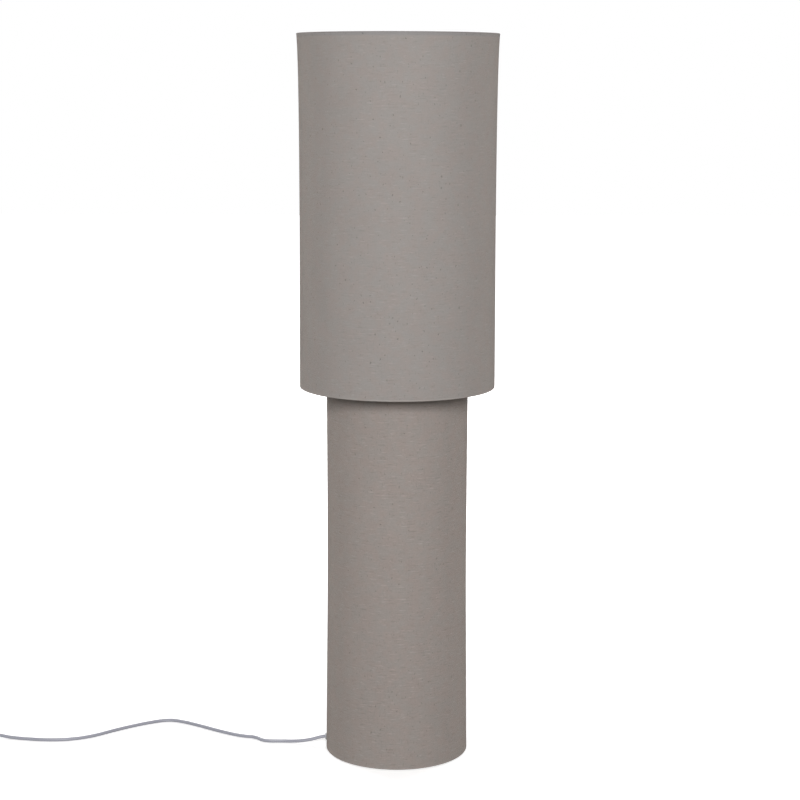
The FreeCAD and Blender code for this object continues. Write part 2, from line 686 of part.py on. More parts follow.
def build_bulb():
    seam = dims.bulb_seam
    cap_low = bulb_low + dims.bulb_tip_depth
    turned("bulb_tip", [
        (0, bulb_low), (dims.bulb_tip_radius - 1, bulb_low), (dims.bulb_tip_radius, bulb_low + 0.8),
        (dims.bulb_tip_radius, cap_low), (0, cap_low),
    ])
    turned("bulb_insulator", [
        (0, cap_low + seam), (dims.bulb_tip_radius + 1, cap_low + seam), (dims.bulb_cap_radius - 2.5, cap_low + 3),
        (dims.bulb_cap_radius - 2.5, cap_low + 4), (0, cap_low + 4),
    ])
    turned("bulb_cap", [
        (dims.bulb_cap_radius - 2.4, cap_low + 3), (dims.bulb_cap_radius, cap_low + 4.5),
        (dims.bulb_cap_radius, bulb_body_low - seam), (dims.bulb_cap_radius - 0.6, bulb_body_low - seam),
        (dims.bulb_cap_radius - 0.6, cap_low + 5), (dims.bulb_cap_radius - 2.4, cap_low + 3.7),
    ])
    plug_radius = dims.bulb_cap_radius - 0.8
    rise = dims.bulb_body_height
    turned("bulb_housing", [
        (0, bulb_body_low - 3), (plug_radius, bulb_body_low - 3), (plug_radius, bulb_body_low),
        (dims.bulb_neck_radius, bulb_body_low), (dims.bulb_neck_radius * 1.07, bulb_body_low + rise * 0.3),
        (dims.bulb_body_radius * 0.72, bulb_body_low + rise * 0.6),
        (dims.bulb_body_radius, bulb_globe_low - 3), (dims.bulb_body_radius, bulb_globe_low), (0, bulb_globe_low),
    ])
    middle = bulb_globe_low + dims.bulb_globe_height - dims.bulb_globe_radius
    dome = [corner for corner in sided(0, middle, dims.bulb_globe_radius, 20)
            if float(corner[0]) >= 0 and float(corner[1]) > float(bulb_globe_low) + 3]
    turned("bulb_globe", [(0, bulb_globe_low + seam), (dims.bulb_body_radius, bulb_globe_low + seam)]
           + sorted(dome, key=lambda corner: float(corner[1])))


# ---- cords --------------------------------------------------------------------------------------------------------

def segment(start, end):
    return Part.LineSegment(start, end).toShape()


def bent_path(points, largest=None):
    """Straight runs joined by tangent arcs; returns the wire and the arcs' radii."""
    points = [FreeCAD.Vector(*place) for place in points]
    edges = []
    radii = []
    start = points[0]
    for before, corner, after in zip(points, points[1:], points[2:]):
        back = before - corner
        ahead = after - corner
        shorter = min(back.Length, ahead.Length)
        back.normalize()
        ahead.normalize()
        half_turn = (math.pi - back.getAngle(ahead)) / 2
        radius = 0.45 * shorter / math.tan(half_turn)
        if largest:
            radius = min(radius, largest)
        reach = radius * math.tan(half_turn)
        bisector = (back + ahead).normalize()
        arc_in = corner + back * reach
        arc_out = corner + ahead * reach
        middle = corner + bisector * (radius / math.cos(half_turn) - radius)
        edges.append(segment(start, arc_in))
        edges.append(Part.Arc(arc_in, middle, arc_out).toShape())
        radii.append(radius)
        start = arc_out
    edges.append(segment(start, points[-1]))
    return Part.Wire(edges), radii


def bar(wire, diameter, sides=6):
    """A solid bar of flat sides along a wire, and its section's area."""
    edge = wire.OrderedEdges[0]
    start = edge.valueAt(edge.FirstParameter)
    way = edge.tangentAt(edge.FirstParameter)
    turn = FreeCAD.Rotation(FreeCAD.Vector(0, 0, 1), way)
    corners = [start + turn.multVec(point(x, y)) for x, y in sided(0, 0, as_size(diameter) / 2, sides)]
    section = Part.makePolygon(corners + corners[:1])
    return wire.makePipeShell([section], True, False), Part.Face(section).Area


def cord_part(label, points, largest=None):
    """A stretch of cord; prints what shows whether the tube is sound."""
    wire, radii = bent_path(points, largest)
    shape, area = bar(wire, dims.cord_diameter)
    share = shape.Volume / (area * wire.Length)
    print(f"{label}: length {wire.Length:.0f}, radii {[round(radius) for radius in radii]}, volume ratio {share:.4f}")
    shape_part(label, shape)


def beyond(start, bearing, length):
    """The point a given way from another, level with it."""
    return (start[0] + length * math.cos(bearing), start[1] + length * math.sin(bearing), start[2])


# The mains cord from the gland to the foot switch, as it lies on the floor: the heights come last.
gland_tip = float(column_foot_ring + hem + dims.gland_gap + dims.gland_flange_depth)
lie = float(cord_radius)
lamp_out = beyond((0, 0, float(dims.cord_height)), cord_bearing, gland_tip)
MAINS_ROUTE = [
    lamp_out, beyond(lamp_out, cord_bearing, 11.0), (-158.0, 9.0, 11.2), (-177.0, 11.0, 6.6), (-196.0, 15.0, 3.8),
    (-215.0, 17.2, lie), (-243.0, 16.5, lie), (-262.0, 35.5, lie), (-288.0, 42.5, lie), (-330.0, 67.5, lie),
    (-373.0, 100.0, lie), (-411.0, 126.5, lie), (-437.0, 135.5, lie), (-461.0, 127.5, lie), (-500.0, 103.5, lie),
    (-540.0, 70.5, lie), (-570.0, 42.0, lie), (-605.0, 24.0, lie), (-645.0, 18.5, lie), (-686.0, 23.5, lie),
    (-722.0, 32.0, lie), (-744.0, 38.5, 5.0),
]
nozzle_reach = float(dims.switch_radius + dims.nozzle_length)
switch_in = (float(dims.switch_east) - nozzle_reach * math.cos(switch_bearing),
             float(dims.switch_north) - nozzle_reach * math.sin(switch_bearing), float(dims.nozzle_height))
switch_out = (float(dims.switch_east) + nozzle_reach * math.cos(switch_bearing),
              float(dims.switch_north) + nozzle_reach * math.sin(switch_bearing), float(dims.nozzle_height))

coil_level = lie + float(dims.coil_lift)
coil_start = (float(dims.coil_east), float(dims.coil_north), coil_level)
LINK_ROUTE = [
    switch_out, beyond(switch_out, switch_bearing, 13.0), (-903.6, 85.9, 5.6), (-913.7, 106.6, coil_level), coil_start,
]


def half_turn_arc(start, radius, level, eastward):
    """Half a turn in the level, clockwise seen from above, from a point on the coil's east-west line."""
    way = 1 if eastward else -1
    end = point(start.x + way * 2 * radius, start.y, level)
    middle = point(start.x + way * radius, start.y + way * radius, level)
    return Part.Arc(start, middle, end).toShape(), end


def climbing_arcs(start, radius, rise, eastward):
    """Half a turn that climbs to the next layer: two arcs that meet where the turn's slope is steepest."""
    way = 1 if eastward else -1
    crown = math.sqrt(radius ** 2 + rise ** 2 / 4)
    top = point(start.x + way * radius, start.y + way * crown, start.z + rise / 2)
    end = point(start.x + way * 2 * radius, start.y, start.z + rise)
    first = Part.Arc(start, arc_middle(start, FreeCAD.Vector(0, way, 0), top), top)
    second = Part.Arc(top, arc_middle(end, FreeCAD.Vector(0, way, 0), top), end)
    return [first.toShape(), second.toShape()], end


def arc_middle(start, way, end):
    """The middle of the arc that leaves start in a given direction and passes through end."""
    chord = end - start
    length = chord.Length
    along = chord / length
    bulge = (way - along * way.dot(along)).normalize()
    angle = way.getAngle(along)
    return start + chord / 2 + bulge * (length / 2 * math.tan(angle / 2))


def coil_wire():
    """The put-away cord: it winds in on the lower layer, climbs in one half turn and winds out on the upper."""
    spacing = float(dims.coil_spacing)
    inner = float(dims.coil_inner_radius)
    straight = float(dims.cord_diameter)
    start = FreeCAD.Vector(*coil_start)
    here = start + FreeCAD.Vector(0, straight, 0)
    edges = [segment(start, here)]
    eastward = True
    for count in range(int(float(dims.coil_turns_in)), 0, -1):
        edge, here = half_turn_arc(here, inner + count * spacing / 2, coil_level, eastward)
        edges.append(edge)
        eastward = not eastward
    arcs, here = climbing_arcs(here, inner, spacing, eastward)
    edges += arcs
    eastward = not eastward
    for count in range(1, int(float(dims.coil_turns_out)) + 1):
        edge, here = half_turn_arc(here, inner + count * spacing / 2, here.z, eastward)
        edges.append(edge)
        eastward = not eastward
    end = here + FreeCAD.Vector(0, straight if eastward else -straight, 0)
    edges.append(segment(here, end))
    return Part.Wire(edges), end


def least_gap(wire, diameter, step=1.5):
    """The least free space between two stretches of a wound tube, measured on points along it."""
    places = wire.discretize(Distance=step)
    apart = int(3 * diameter / step)
    nearest = min((first - second).Length for number, first in enumerate(places)
                  for second in places[number + apart:])
    return nearest - diameter


def build_cords():
    cord_part("mains_cord", MAINS_ROUTE + [beyond(switch_in, switch_bearing, -13.0), switch_in])
    cord_part("link_cord", LINK_ROUTE)
    wire, end = coil_wire()
    coil, area = bar(wire, dims.cord_diameter)
    share = coil.Volume / (area * wire.Length)
    gap = least_gap(wire, float(dims.cord_diameter))
    print(f"cord_coil: length {wire.Length:.0f}, volume ratio {share:.4f}, least gap to itself {gap:.2f}")
    shape_part("cord_coil", coil)
    tail = (end.x, end.y, end.z)
    bend = (end.x - 11.8, end.y + 47.0, float(dims.plug_height))
    tip = beyond(bend, math.radians(float(dims.plug_bearing)), 12.0)
    cord_part("plug_cord", [tail, beyond(tail, math.radians(90), 12.0), (end.x - 3.3, end.y + 30.0, 9.2), bend, tip])
    build_tie()
    build_plug(tip)


def build_tie():
    """A band round the turns at the coil's east side."""
    slack = cord_radius + dims.tie_clearance
    spacing = dims.coil_spacing
    outer_east = dims.coil_east + 2 * dims.coil_inner_radius + dims.coil_turns_in * spacing
    low = cord_radius + dims.coil_lift - slack
    high = low + spacing + 2 * slack
    west = outer_east - 2 * spacing - slack
    east = outer_east + slack
    body = new_body("coil_tie")
    sketch = new_sketch(body, "tie_outline", "XZ_Plane")
    bind(sketch, **{"AttachmentOffset.Base.z": -(dims.coil_north + dims.cord_diameter)})
    rounded_box(sketch, west, east, low, high, slack)
    grow = dims.tie_thickness
    rounded_box(sketch, west - grow, east + grow, low - grow, high + grow, slack + grow)
    padded(body, "tie_band", sketch, dims.tie_width, both_ways=True)


def rounded_box(sketch, west, east, low, high, radius):
    """A rectangle with round corners."""
    draw(sketch, [
        (west + radius, low), (east - radius, low, radius), (east, low + radius), (east, high - radius, radius),
        (east - radius, high), (west + radius, high, radius), (west, high - radius), (west, low + radius, radius),
    ])


def build_plug(tip):
    """A flat two-pin plug lying on the floor, its cord sleeve first."""
    place = at(*tip, turn=float(dims.plug_bearing))
    body = new_body("plug_body")
    length = dims.nozzle_length
    front = length + dims.plug_length
    sketch = draw(new_sketch(body, "plug_outline", "XY_Plane"), [
        (length - 1, -dims.nozzle_radius), (length + 6, -dims.plug_waist / 2),
        (front - 9, -dims.plug_width / 2), (front, -dims.plug_width / 2 + 1),
        (front, dims.plug_width / 2 - 1), (front - 9, dims.plug_width / 2),
        (length + 6, dims.plug_waist / 2), (length - 1, dims.nozzle_radius),
    ])
    block = padded(body, "plug_block", sketch, dims.plug_thickness, both_ways=True)
    doc.recompute()
    long_edges = [f"Edge{number}" for number, edge in enumerate(block.Shape.Edges, 1)
                  if abs(edge.BoundBox.ZLength) < 0.01 and edge.BoundBox.XMax < float(front) - 0.01]
    softened = body.newObject("PartDesign::Fillet", "plug_edges")
    softened.Base = (block, long_edges)
    bind(softened, Radius=dims.plug_round)
    sleeve = draw(new_sketch(body, "plug_sleeve_section", "XY_Plane"), [
        (0, 0), (0, dims.nozzle_tip), (length, dims.nozzle_radius), (length + 2, 0),
    ])
    cone = body.newObject("PartDesign::Revolution", "plug_sleeve")
    cone.Profile = sleeve
    cone.ReferenceAxis = (sleeve, ["H_Axis"])
    cone.Angle = 360
    body.Placement = place
    pins = new_body("plug_pins")
    for number, side in enumerate((-1, 1), 1):
        for name, radius, start, reach in (
                ("sleeve", dims.pin_sleeve / 2, front, dims.pin_length - dims.pin_bare),
                ("end", dims.pin_diameter / 2, front + dims.pin_length - dims.pin_bare, dims.pin_bare)):
            outline = new_sketch(pins, f"pin_{name}_{number}_outline", "YZ_Plane")
            bind(outline, **{"AttachmentOffset.Base.z": start})
            circle(outline, side * dims.pin_spread / 2, 0, radius)
            padded(pins, f"pin_{name}_{number}", outline, reach)
    pins.Placement = place


# ---- cord inside the lamp -----------------------------------------------------------------------------------------

def build_lead():
    wall = float(column_foot_ring + hem)
    out = column_foot_ring + hem + dims.gland_gap
    behind = out - lining - dims.liner_thickness - 2 * dims.gland_gap
    gland = turned("cord_gland", [
        (bore_radius, -dims.gland_length), (dims.gland_barb_radius - 0.8, -dims.gland_length),
        (dims.gland_barb_radius, behind - out), (dims.gland_body_radius, behind - out),
        (dims.gland_body_radius, 0), (dims.gland_flange_radius, 0),
        (dims.gland_flange_radius - 1, dims.gland_flange_depth), (bore_radius, dims.gland_flange_depth),
    ])
    reach = float(out)
    turn = FreeCAD.Rotation(FreeCAD.Vector(0, 0, 1), FreeCAD.Vector(math.cos(cord_bearing), math.sin(cord_bearing), 0))
    middle = point(reach * math.cos(cord_bearing), reach * math.sin(cord_bearing), dims.cord_height)
    gland.Placement = FreeCAD.Placement(middle, turn)
    level = float(base_top + cord_radius + dims.cord_play)
    top = float(holder_low + dims.holder_neck_height) + 5
    in_section = [
        (wall + float(dims.gland_gap + dims.gland_flange_depth), float(dims.cord_height)),
        (104.0, float(dims.cord_height)), (91.0, level), (53.0, level), (28.0, 29.4), (0.0, 118.0), (0.0, top),
    ]
    route = [(radius * math.cos(cord_bearing), radius * math.sin(cord_bearing), height)
             for radius, height in in_section]
    cord_part("inner_lead", route, largest=90.0)
    cores = new_body("lead_cores")
    for number, side in enumerate((-1, 1), 1):
        outline = new_sketch(cores, f"core_{number}_outline", "XY_Plane")
        bind(outline, **{"AttachmentOffset.Base.z": holder_low + dims.holder_neck_height + 5})
        draw(outline, sided(side * 1.4, 0, dims.core_diameter / 2, 6))
        padded(cores, f"core_{number}", outline, dims.holder_cap_height - dims.holder_neck_height - 10.2)


def build_clamp():
    """A saddle that holds the lead down on the base plate, with its two screws."""
    place = at(float(dims.clamp_place) * math.cos(cord_bearing), float(dims.clamp_place) * math.sin(cord_bearing),
               0, turn=float(dims.cord_bearing))
    body = new_body("cord_clamp")
    level = base_top + cord_radius + dims.cord_play
    inner = bore_radius
    outer = inner + dims.clamp_wall
    half = dims.clamp_span / 2
    top = base_top + dims.clamp_wall
    sketch = draw(new_sketch(body, "clamp_outline", "YZ_Plane"), [
        (-half, base_top), (-inner, base_top), (-inner, level, -inner), (0, level + inner, -inner), (inner, level),
        (inner, base_top), (half, base_top), (half, top), (outer, top), (outer, level, outer),
        (0, level + outer, outer), (-outer, level), (-outer, top), (-half, top),
    ])
    padded(body, "clamp_strap", sketch, dims.clamp_width, both_ways=True)
    screw_holes(body, "clamp_holes", 0, top, dims.clamp_wall)
    body.Placement = place
    screws = new_body("clamp_screws")
    for number, side in enumerate((-1, 1), 1):
        sketch = new_sketch(screws, f"screw_head_{number}_outline", "XY_Plane")
        bind(sketch, **{"AttachmentOffset.Base.z": top})
        circle(sketch, 0, side * screw_place, dims.screw_head_radius)
        padded(screws, f"screw_head_{number}", sketch, dims.screw_head_height)
        sketch = new_sketch(screws, f"screw_shank_{number}_outline", "XY_Plane")
        bind(sketch, **{"AttachmentOffset.Base.z": top - dims.screw_reach})
        circle(sketch, 0, side * screw_place, dims.screw_diameter / 2)
        padded(screws, f"screw_shank_{number}", sketch, dims.screw_reach)
    screws.Placement = place


# ---- foot switch --------------------------------------------------------------------------------------------------

def cord_ports(body, name):
    """Cuts the holes for the cord's sleeves through both sides of the foot switch."""
    outline = new_sketch(body, name + "_outline", "YZ_Plane")
    bind(outline, **{"AttachmentOffset.Base.z": -dims.switch_radius})
    circle(outline, 0, dims.nozzle_height, dims.nozzle_radius - 0.9)
    pocket = body.newObject("PartDesign::Pocket", name)
    pocket.Profile = outline
    pocket.Reversed = True
    bind(pocket, Length=2 * dims.switch_radius)


def build_switch():
    place = at(dims.switch_east, dims.switch_north, 0, turn=float(dims.switch_bearing))
    radius = dims.switch_radius
    wall = dims.switch_wall
    rim = dims.switch_floor + dims.switch_seam
    spigot = radius - wall - dims.switch_seam
    base = turned("switch_base", [
        (0, 0), (radius - 1, 0), (radius, 1), (radius, dims.switch_floor), (spigot, dims.switch_floor),
        (spigot, dims.switch_floor + 2), (radius - 2 * wall, dims.switch_floor + 2),
        (radius - 2 * wall, dims.switch_floor), (0, dims.switch_floor),
    ])
    cord_ports(base, "base_ports")
    base.Placement = place
    hole = dims.button_radius + dims.button_clearance
    top = dims.switch_height
    slope = radius - dims.switch_top_radius
    bend = (radius - slope * 0.3, top - (top - dims.switch_rim) * 0.3)
    cover = turned("switch_cover", [
        (radius - wall, rim), (radius, rim), (radius, dims.switch_rim), bend, (dims.switch_top_radius, top),
        (hole, top), (hole, top - wall), (dims.switch_top_radius - wall / 2, top - wall),
        (bend[0] - wall * 0.8, bend[1] - wall * 0.8), (radius - wall, dims.switch_rim - wall / 2),
    ])
    cord_ports(cover, "cover_ports")
    cover.Placement = place
    sleeves = new_body("switch_sleeves")
    for number, side in enumerate((-1, 1), 1):
        start = radius + dims.cord_play
        tip = radius + dims.nozzle_length
        section = draw(new_sketch(sleeves, f"sleeve_section_{number}", "XY_Plane"), [
            (side * (radius - wall - 2), bore_radius), (side * (radius - wall - 2), dims.nozzle_radius - 1.0),
            (side * start, dims.nozzle_radius - 1.0), (side * start, dims.nozzle_radius),
            (side * tip, dims.nozzle_tip), (side * tip, bore_radius),
        ])
        cone = sleeves.newObject("PartDesign::Revolution", f"sleeve_{number}")
        cone.Profile = section
        cone.ReferenceAxis = (section, ["H_Axis"])
        cone.Angle = 360
    sleeves.Placement = at(dims.switch_east, dims.switch_north, dims.nozzle_height, turn=float(dims.switch_bearing))
    button_low = dims.switch_height - wall - dims.button_clearance - dims.button_skirt
    button_top = dims.switch_height + dims.button_rise
    rim_radius = dims.button_radius + dims.button_lip
    crown = dims.button_crown
    inner = dims.button_radius - wall
    turned("switch_button", [
        (0, button_top - wall), (inner - wall, button_top - wall - crown), (inner, button_top - wall - 3 * crown),
        (inner, button_low), (rim_radius, button_low), (rim_radius, button_low + dims.button_skirt),
        (dims.button_radius, button_low + dims.button_skirt), (dims.button_radius, button_top - 4 * crown),
        (dims.button_radius - crown, button_top - 2 * crown), (dims.button_radius * 0.8, button_top - crown),
        (dims.button_radius * 0.4, button_top - crown / 4), (0, button_top),
    ], place)
    spring_low = float(dims.switch_floor)
    rise = float(button_top - wall - 0.8 - dims.button_clearance - dims.spring_wire) - spring_low
    turns = float(dims.spring_turns)
    helix = Part.makeHelix(rise / turns, rise, float(dims.spring_radius))
    helix.translate(point(0, 0, spring_low + float(dims.spring_wire) / 2))
    shape_part("switch_spring", bar(Part.Wire(helix.Edges), dims.spring_wire, 4)[0], place)
    # Two contact blocks, which the button's flange meets at the end of its stroke.
    posts = new_body("switch_contacts")
    near = dims.button_radius
    far = near + dims.contact_depth
    half = dims.contact_width / 2
    post_height = button_low - dims.button_travel - dims.button_clearance - dims.switch_floor
    for number, side in enumerate((-1, 1), 1):
        sketch = new_sketch(posts, f"contact_block_{number}_outline", "XY_Plane")
        bind(sketch, **{"AttachmentOffset.Base.z": dims.switch_floor})
        draw(sketch, [(side * near, -half), (side * far, -half), (side * far, half), (side * near, half)])
        padded(posts, f"contact_block_{number}", sketch, post_height)
    posts.Placement = place


def check(feature):
    """Stops at a feature that failed, or at a sub-part without a sound solid."""
    state = feature.State
    if "Invalid" in state or "Error" in state:
        raise SystemExit(f"{feature.Label}: {state}")


def main():
    build_base()
    build_pole()
    build_frames()
    build_walls()
    build_lampholder()
    build_shade_ring()
    build_bulb()
    build_lead()
    build_clamp()
    build_cords()
    build_switch()
    doc.recompute()
    for feature in doc.Objects:
        check(feature)
    os.makedirs("parts", exist_ok=True)
    for label, feature in parts.items():
        if feature.Shape.isNull() or not feature.Shape.isValid():
            raise SystemExit(f"{label}: no sound solid")
        feature.Shape.exportStep(f"parts/{label}.step")
    print(f"{len(parts)} sub-parts")


main()
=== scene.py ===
"""Looks of the column floor lamp: two fabric walls on wire frames, the light inside them, and the cord.

Sections, wire lines and cord routes are in millimetres, everything else is in metres. +Z is up and the
photograph is taken from -Y.
"""
import json
import math

import bmesh
import bpy
from mathutils import Matrix, Vector
from mathutils.geometry import interpolate_bezier


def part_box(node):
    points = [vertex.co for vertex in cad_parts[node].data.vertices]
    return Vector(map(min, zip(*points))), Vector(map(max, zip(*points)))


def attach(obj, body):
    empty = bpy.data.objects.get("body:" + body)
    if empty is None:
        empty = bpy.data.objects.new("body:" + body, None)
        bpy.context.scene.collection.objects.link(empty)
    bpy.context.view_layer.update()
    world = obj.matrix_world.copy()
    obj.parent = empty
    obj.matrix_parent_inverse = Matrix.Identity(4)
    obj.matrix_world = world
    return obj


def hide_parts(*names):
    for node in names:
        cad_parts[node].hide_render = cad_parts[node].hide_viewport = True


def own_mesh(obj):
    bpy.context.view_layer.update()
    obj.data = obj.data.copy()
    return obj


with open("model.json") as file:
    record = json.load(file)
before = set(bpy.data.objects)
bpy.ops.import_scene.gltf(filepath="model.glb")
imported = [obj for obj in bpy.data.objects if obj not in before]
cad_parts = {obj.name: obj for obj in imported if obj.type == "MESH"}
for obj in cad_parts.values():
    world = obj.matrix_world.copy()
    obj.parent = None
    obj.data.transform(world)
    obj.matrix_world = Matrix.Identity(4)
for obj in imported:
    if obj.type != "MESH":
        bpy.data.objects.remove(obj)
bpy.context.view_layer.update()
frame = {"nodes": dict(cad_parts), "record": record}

MM = 0.001
FULL_TURN = 2 * math.pi


# ---- camera, light and floor --------------------------------------------------------------------------------------

PICTURE_SIDE = 800.0        # pixels
FOCAL_LENGTH = 1938.92      # pixels
AXIS_COLUMN = 397.26        # the lamp's axis stands on this column of pixels
SENSOR_WIDTH = 36.0         # millimetres
EYE = Vector((0.0, -3.4537, 1.2275))
PITCH_DOWN = math.radians(9.455)
ROLL = 0.0025


def stand_camera():
    lens = bpy.data.cameras.new("camera")
    lens.sensor_width = SENSOR_WIDTH
    lens.lens = SENSOR_WIDTH * FOCAL_LENGTH / PICTURE_SIDE
    lens.shift_x = 0.5 - AXIS_COLUMN / PICTURE_SIDE
    camera = bpy.data.objects.new("camera", lens)
    turn = Matrix.Rotation(math.pi / 2 - PITCH_DOWN, 4, "X") @ Matrix.Rotation(ROLL, 4, "Z")
    camera.matrix_world = Matrix.Translation(EYE) @ turn
    bpy.context.scene.collection.objects.link(camera)
    bpy.context.scene.camera = camera


def soft_light(name, place, aim, size, power):
    """A square softbox that faces a point."""
    lamp = bpy.data.lights.new(name, "AREA")
    lamp.shape = "RECTANGLE"
    lamp.size, lamp.size_y = size
    lamp.energy = power
    box = bpy.data.objects.new(name, lamp)
    way = Vector(aim) - Vector(place)
    box.location = place
    box.rotation_euler = way.to_track_quat("-Z", "Y").to_euler()
    bpy.context.scene.collection.objects.link(box)


ROOM_GLOW = 0.32            # what the white room casts on the lamp


def light_the_room():
    world = bpy.data.worlds.new("room")
    world.use_nodes = True
    tree = world.node_tree
    tree.nodes.clear()
    seen = tree.nodes.new("ShaderNodeBackground")
    seen.inputs["Color"].default_value = (1.0, 1.0, 1.0, 1.0)
    seen.inputs["Strength"].default_value = 1.0
    cast = tree.nodes.new("ShaderNodeBackground")
    cast.inputs["Color"].default_value = (1.0, 0.99, 0.98, 1.0)
    cast.inputs["Strength"].default_value = ROOM_GLOW
    path = tree.nodes.new("ShaderNodeLightPath")
    mix = tree.nodes.new("ShaderNodeMixShader")
    out = tree.nodes.new("ShaderNodeOutputWorld")
    tree.links.new(path.outputs["Is Camera Ray"], mix.inputs["Fac"])
    tree.links.new(cast.outputs[0], mix.inputs[1])
    tree.links.new(seen.outputs[0], mix.inputs[2])
    tree.links.new(mix.outputs[0], out.inputs["Surface"])
    bpy.context.scene.world = world
    bpy.context.scene.view_settings.view_transform = "Standard"
    bpy.context.scene.view_settings.look = "None"
    soft_light("front_softbox", (0.0, -4.0, 2.2), (0, 0, 0.7), (2.0, 1.3), 170.0)
    soft_light("back_softbox", (0.0, 4.2, 2.2), (0, 0, 0.7), (1.6, 1.2), 50.0)
    soft_light("back_softbox_west", (-2.7, 3.2, 2.0), (0, 0, 0.7), (1.2, 2.0), 62.0)
    soft_light("back_softbox_east", (2.7, 3.2, 2.0), (0, 0, 0.7), (1.2, 2.0), 62.0)
    soft_light("high_softbox", (0.0, 0.4, 3.9), (0, 0, 0.0), (3.0, 3.0), 14.0)


# ---- shader sums --------------------------------------------------------------------------------------------------

class Wire:
    """An output of a shader node. Sums on it add the nodes that work them out."""

    def __init__(self, finish, socket):
        self.finish = finish
        self.socket = socket

    def __add__(self, other):
        return self.finish.sum("ADD", self, other)

    __radd__ = __add__

    def __mul__(self, other):
        return self.finish.sum("MULTIPLY", self, other)

    def __sub__(self, other):
        return self.finish.sum("SUBTRACT", self, other)

    def __gt__(self, other):
        return self.finish.sum("GREATER_THAN", self, other)

    def __lt__(self, other):
        return self.finish.sum("LESS_THAN", self, other)


class Finish:
    """A material with one surface shader. What stays the same all over is set on the shader itself."""

    def __init__(self, name, **same):
        self.material = bpy.data.materials.new(name)
        self.material.use_nodes = True
        self.tree = self.material.node_tree
        self.tree.nodes.clear()
        self.surface = self.tree.nodes.new("ShaderNodeBsdfPrincipled")
        out = self.tree.nodes.new("ShaderNodeOutputMaterial")
        self.tree.links.new(self.surface.outputs[0], out.inputs["Surface"])
        for words, value in same.items():
            self.surface.inputs[words.replace("_", " ").title().replace("Ior", "IOR")].default_value = value

    def node(self, kind, settings=None, sockets=None, out=0):
        """Adds a node: its settings first, then the values or links of its sockets."""
        made = self.tree.nodes.new("ShaderNode" + kind)
        for key, value in (settings or {}).items():
            setattr(made, key, value)
        for key, value in (sockets or {}).items():
            self.feed(made.inputs[key], value)
        return Wire(self, made.outputs[out])

    def feed(self, socket, value):
        if isinstance(value, Wire):
            self.tree.links.new(value.socket, socket)
        else:
            socket.default_value = value

    def sum(self, operation, one, two):
        return self.node("Math", {"operation": operation}, {0: one, 1: two})

    def function(self, operation, value):
        return self.node("Math", {"operation": operation}, {0: value})

    def place(self):
        """The three object coordinates, in metres."""
        spot = self.node("TexCoord", out="Object")
        return spot, [self.node("SeparateXYZ", sockets={0: spot}, out=axis) for axis in range(3)]

    def cloth_place(self):
        """The coordinates along and up the cloth, in metres."""
        spot = self.node("UVMap", {"uv_map": "cloth"})
        return spot, [self.node("SeparateXYZ", sockets={0: spot}, out=axis) for axis in range(2)]

    def stretched(self, spot, scale, shift=(0.0, 0.0, 0.0)):
        return self.node("Mapping", sockets={"Vector": spot, "Scale": scale, "Location": shift})

    def noise(self, spot, scale, detail=2.0, roughness=0.5):
        return self.node("TexNoise", sockets={"Vector": spot, "Scale": scale, "Detail": detail, "Roughness": roughness})

    def ramp(self, value, low, high, start=0.0, end=1.0):
        """The value carried from low..high to start..end, smooth at both ends."""
        return self.node("MapRange", {"interpolation_type": "SMOOTHSTEP"},
                         {"Value": value, "From Min": low, "From Max": high, "To Min": start, "To Max": end})

    def mix(self, share, first, second):
        return self.node("Mix", {"data_type": "RGBA"}, {0: share, 6: first, 7: second}, out=2)

    def grey(self, share):
        return self.node("CombineColor", sockets={0: share, 1: share, 2: share})

    def scaled(self, colour, share):
        """A colour made lighter or darker by a number."""
        return self.node("Mix", {"data_type": "RGBA", "blend_type": "MULTIPLY"},
                         {0: 1.0, 6: colour, 7: self.grey(share)}, out=2)

    def bump(self, height, depth):
        return self.node("Bump", sockets={"Height": height, "Distance": depth})

    def paint(self, **sockets):
        for words, value in sockets.items():
            self.feed(self.surface.inputs[words.replace("_", " ").title()], value)
        return self.material


def opaque(red, green, blue):
    return (red, green, blue, 1.0)


# ---- finishes -----------------------------------------------------------------------------------------------------

THREAD_PITCH = 0.00062
LONG_THREAD = (0.567, -0.255, -0.17)    # level, start and end of one thick thread in the shade's cloth
HEM_BAND = 0.0085           # fabric without film behind it, along the upper rim
# painted shade: the top of the upper rim is drawn darker, where the roll gets less light
PAINTED_RIM_SHADE = 0.0024           # darker line on the very top of the upper rim
# painted highlight along the roll of the lower rim
PAINTED_LIT_EDGE = 0.0025           # the roll of the lower rim
WARM_YARN = (1.015, 0.992, 0.985)
COOL_YARN = (0.985, 1.008, 1.01)
HEM_SHADE = (0.89, 0.925, 0.965)


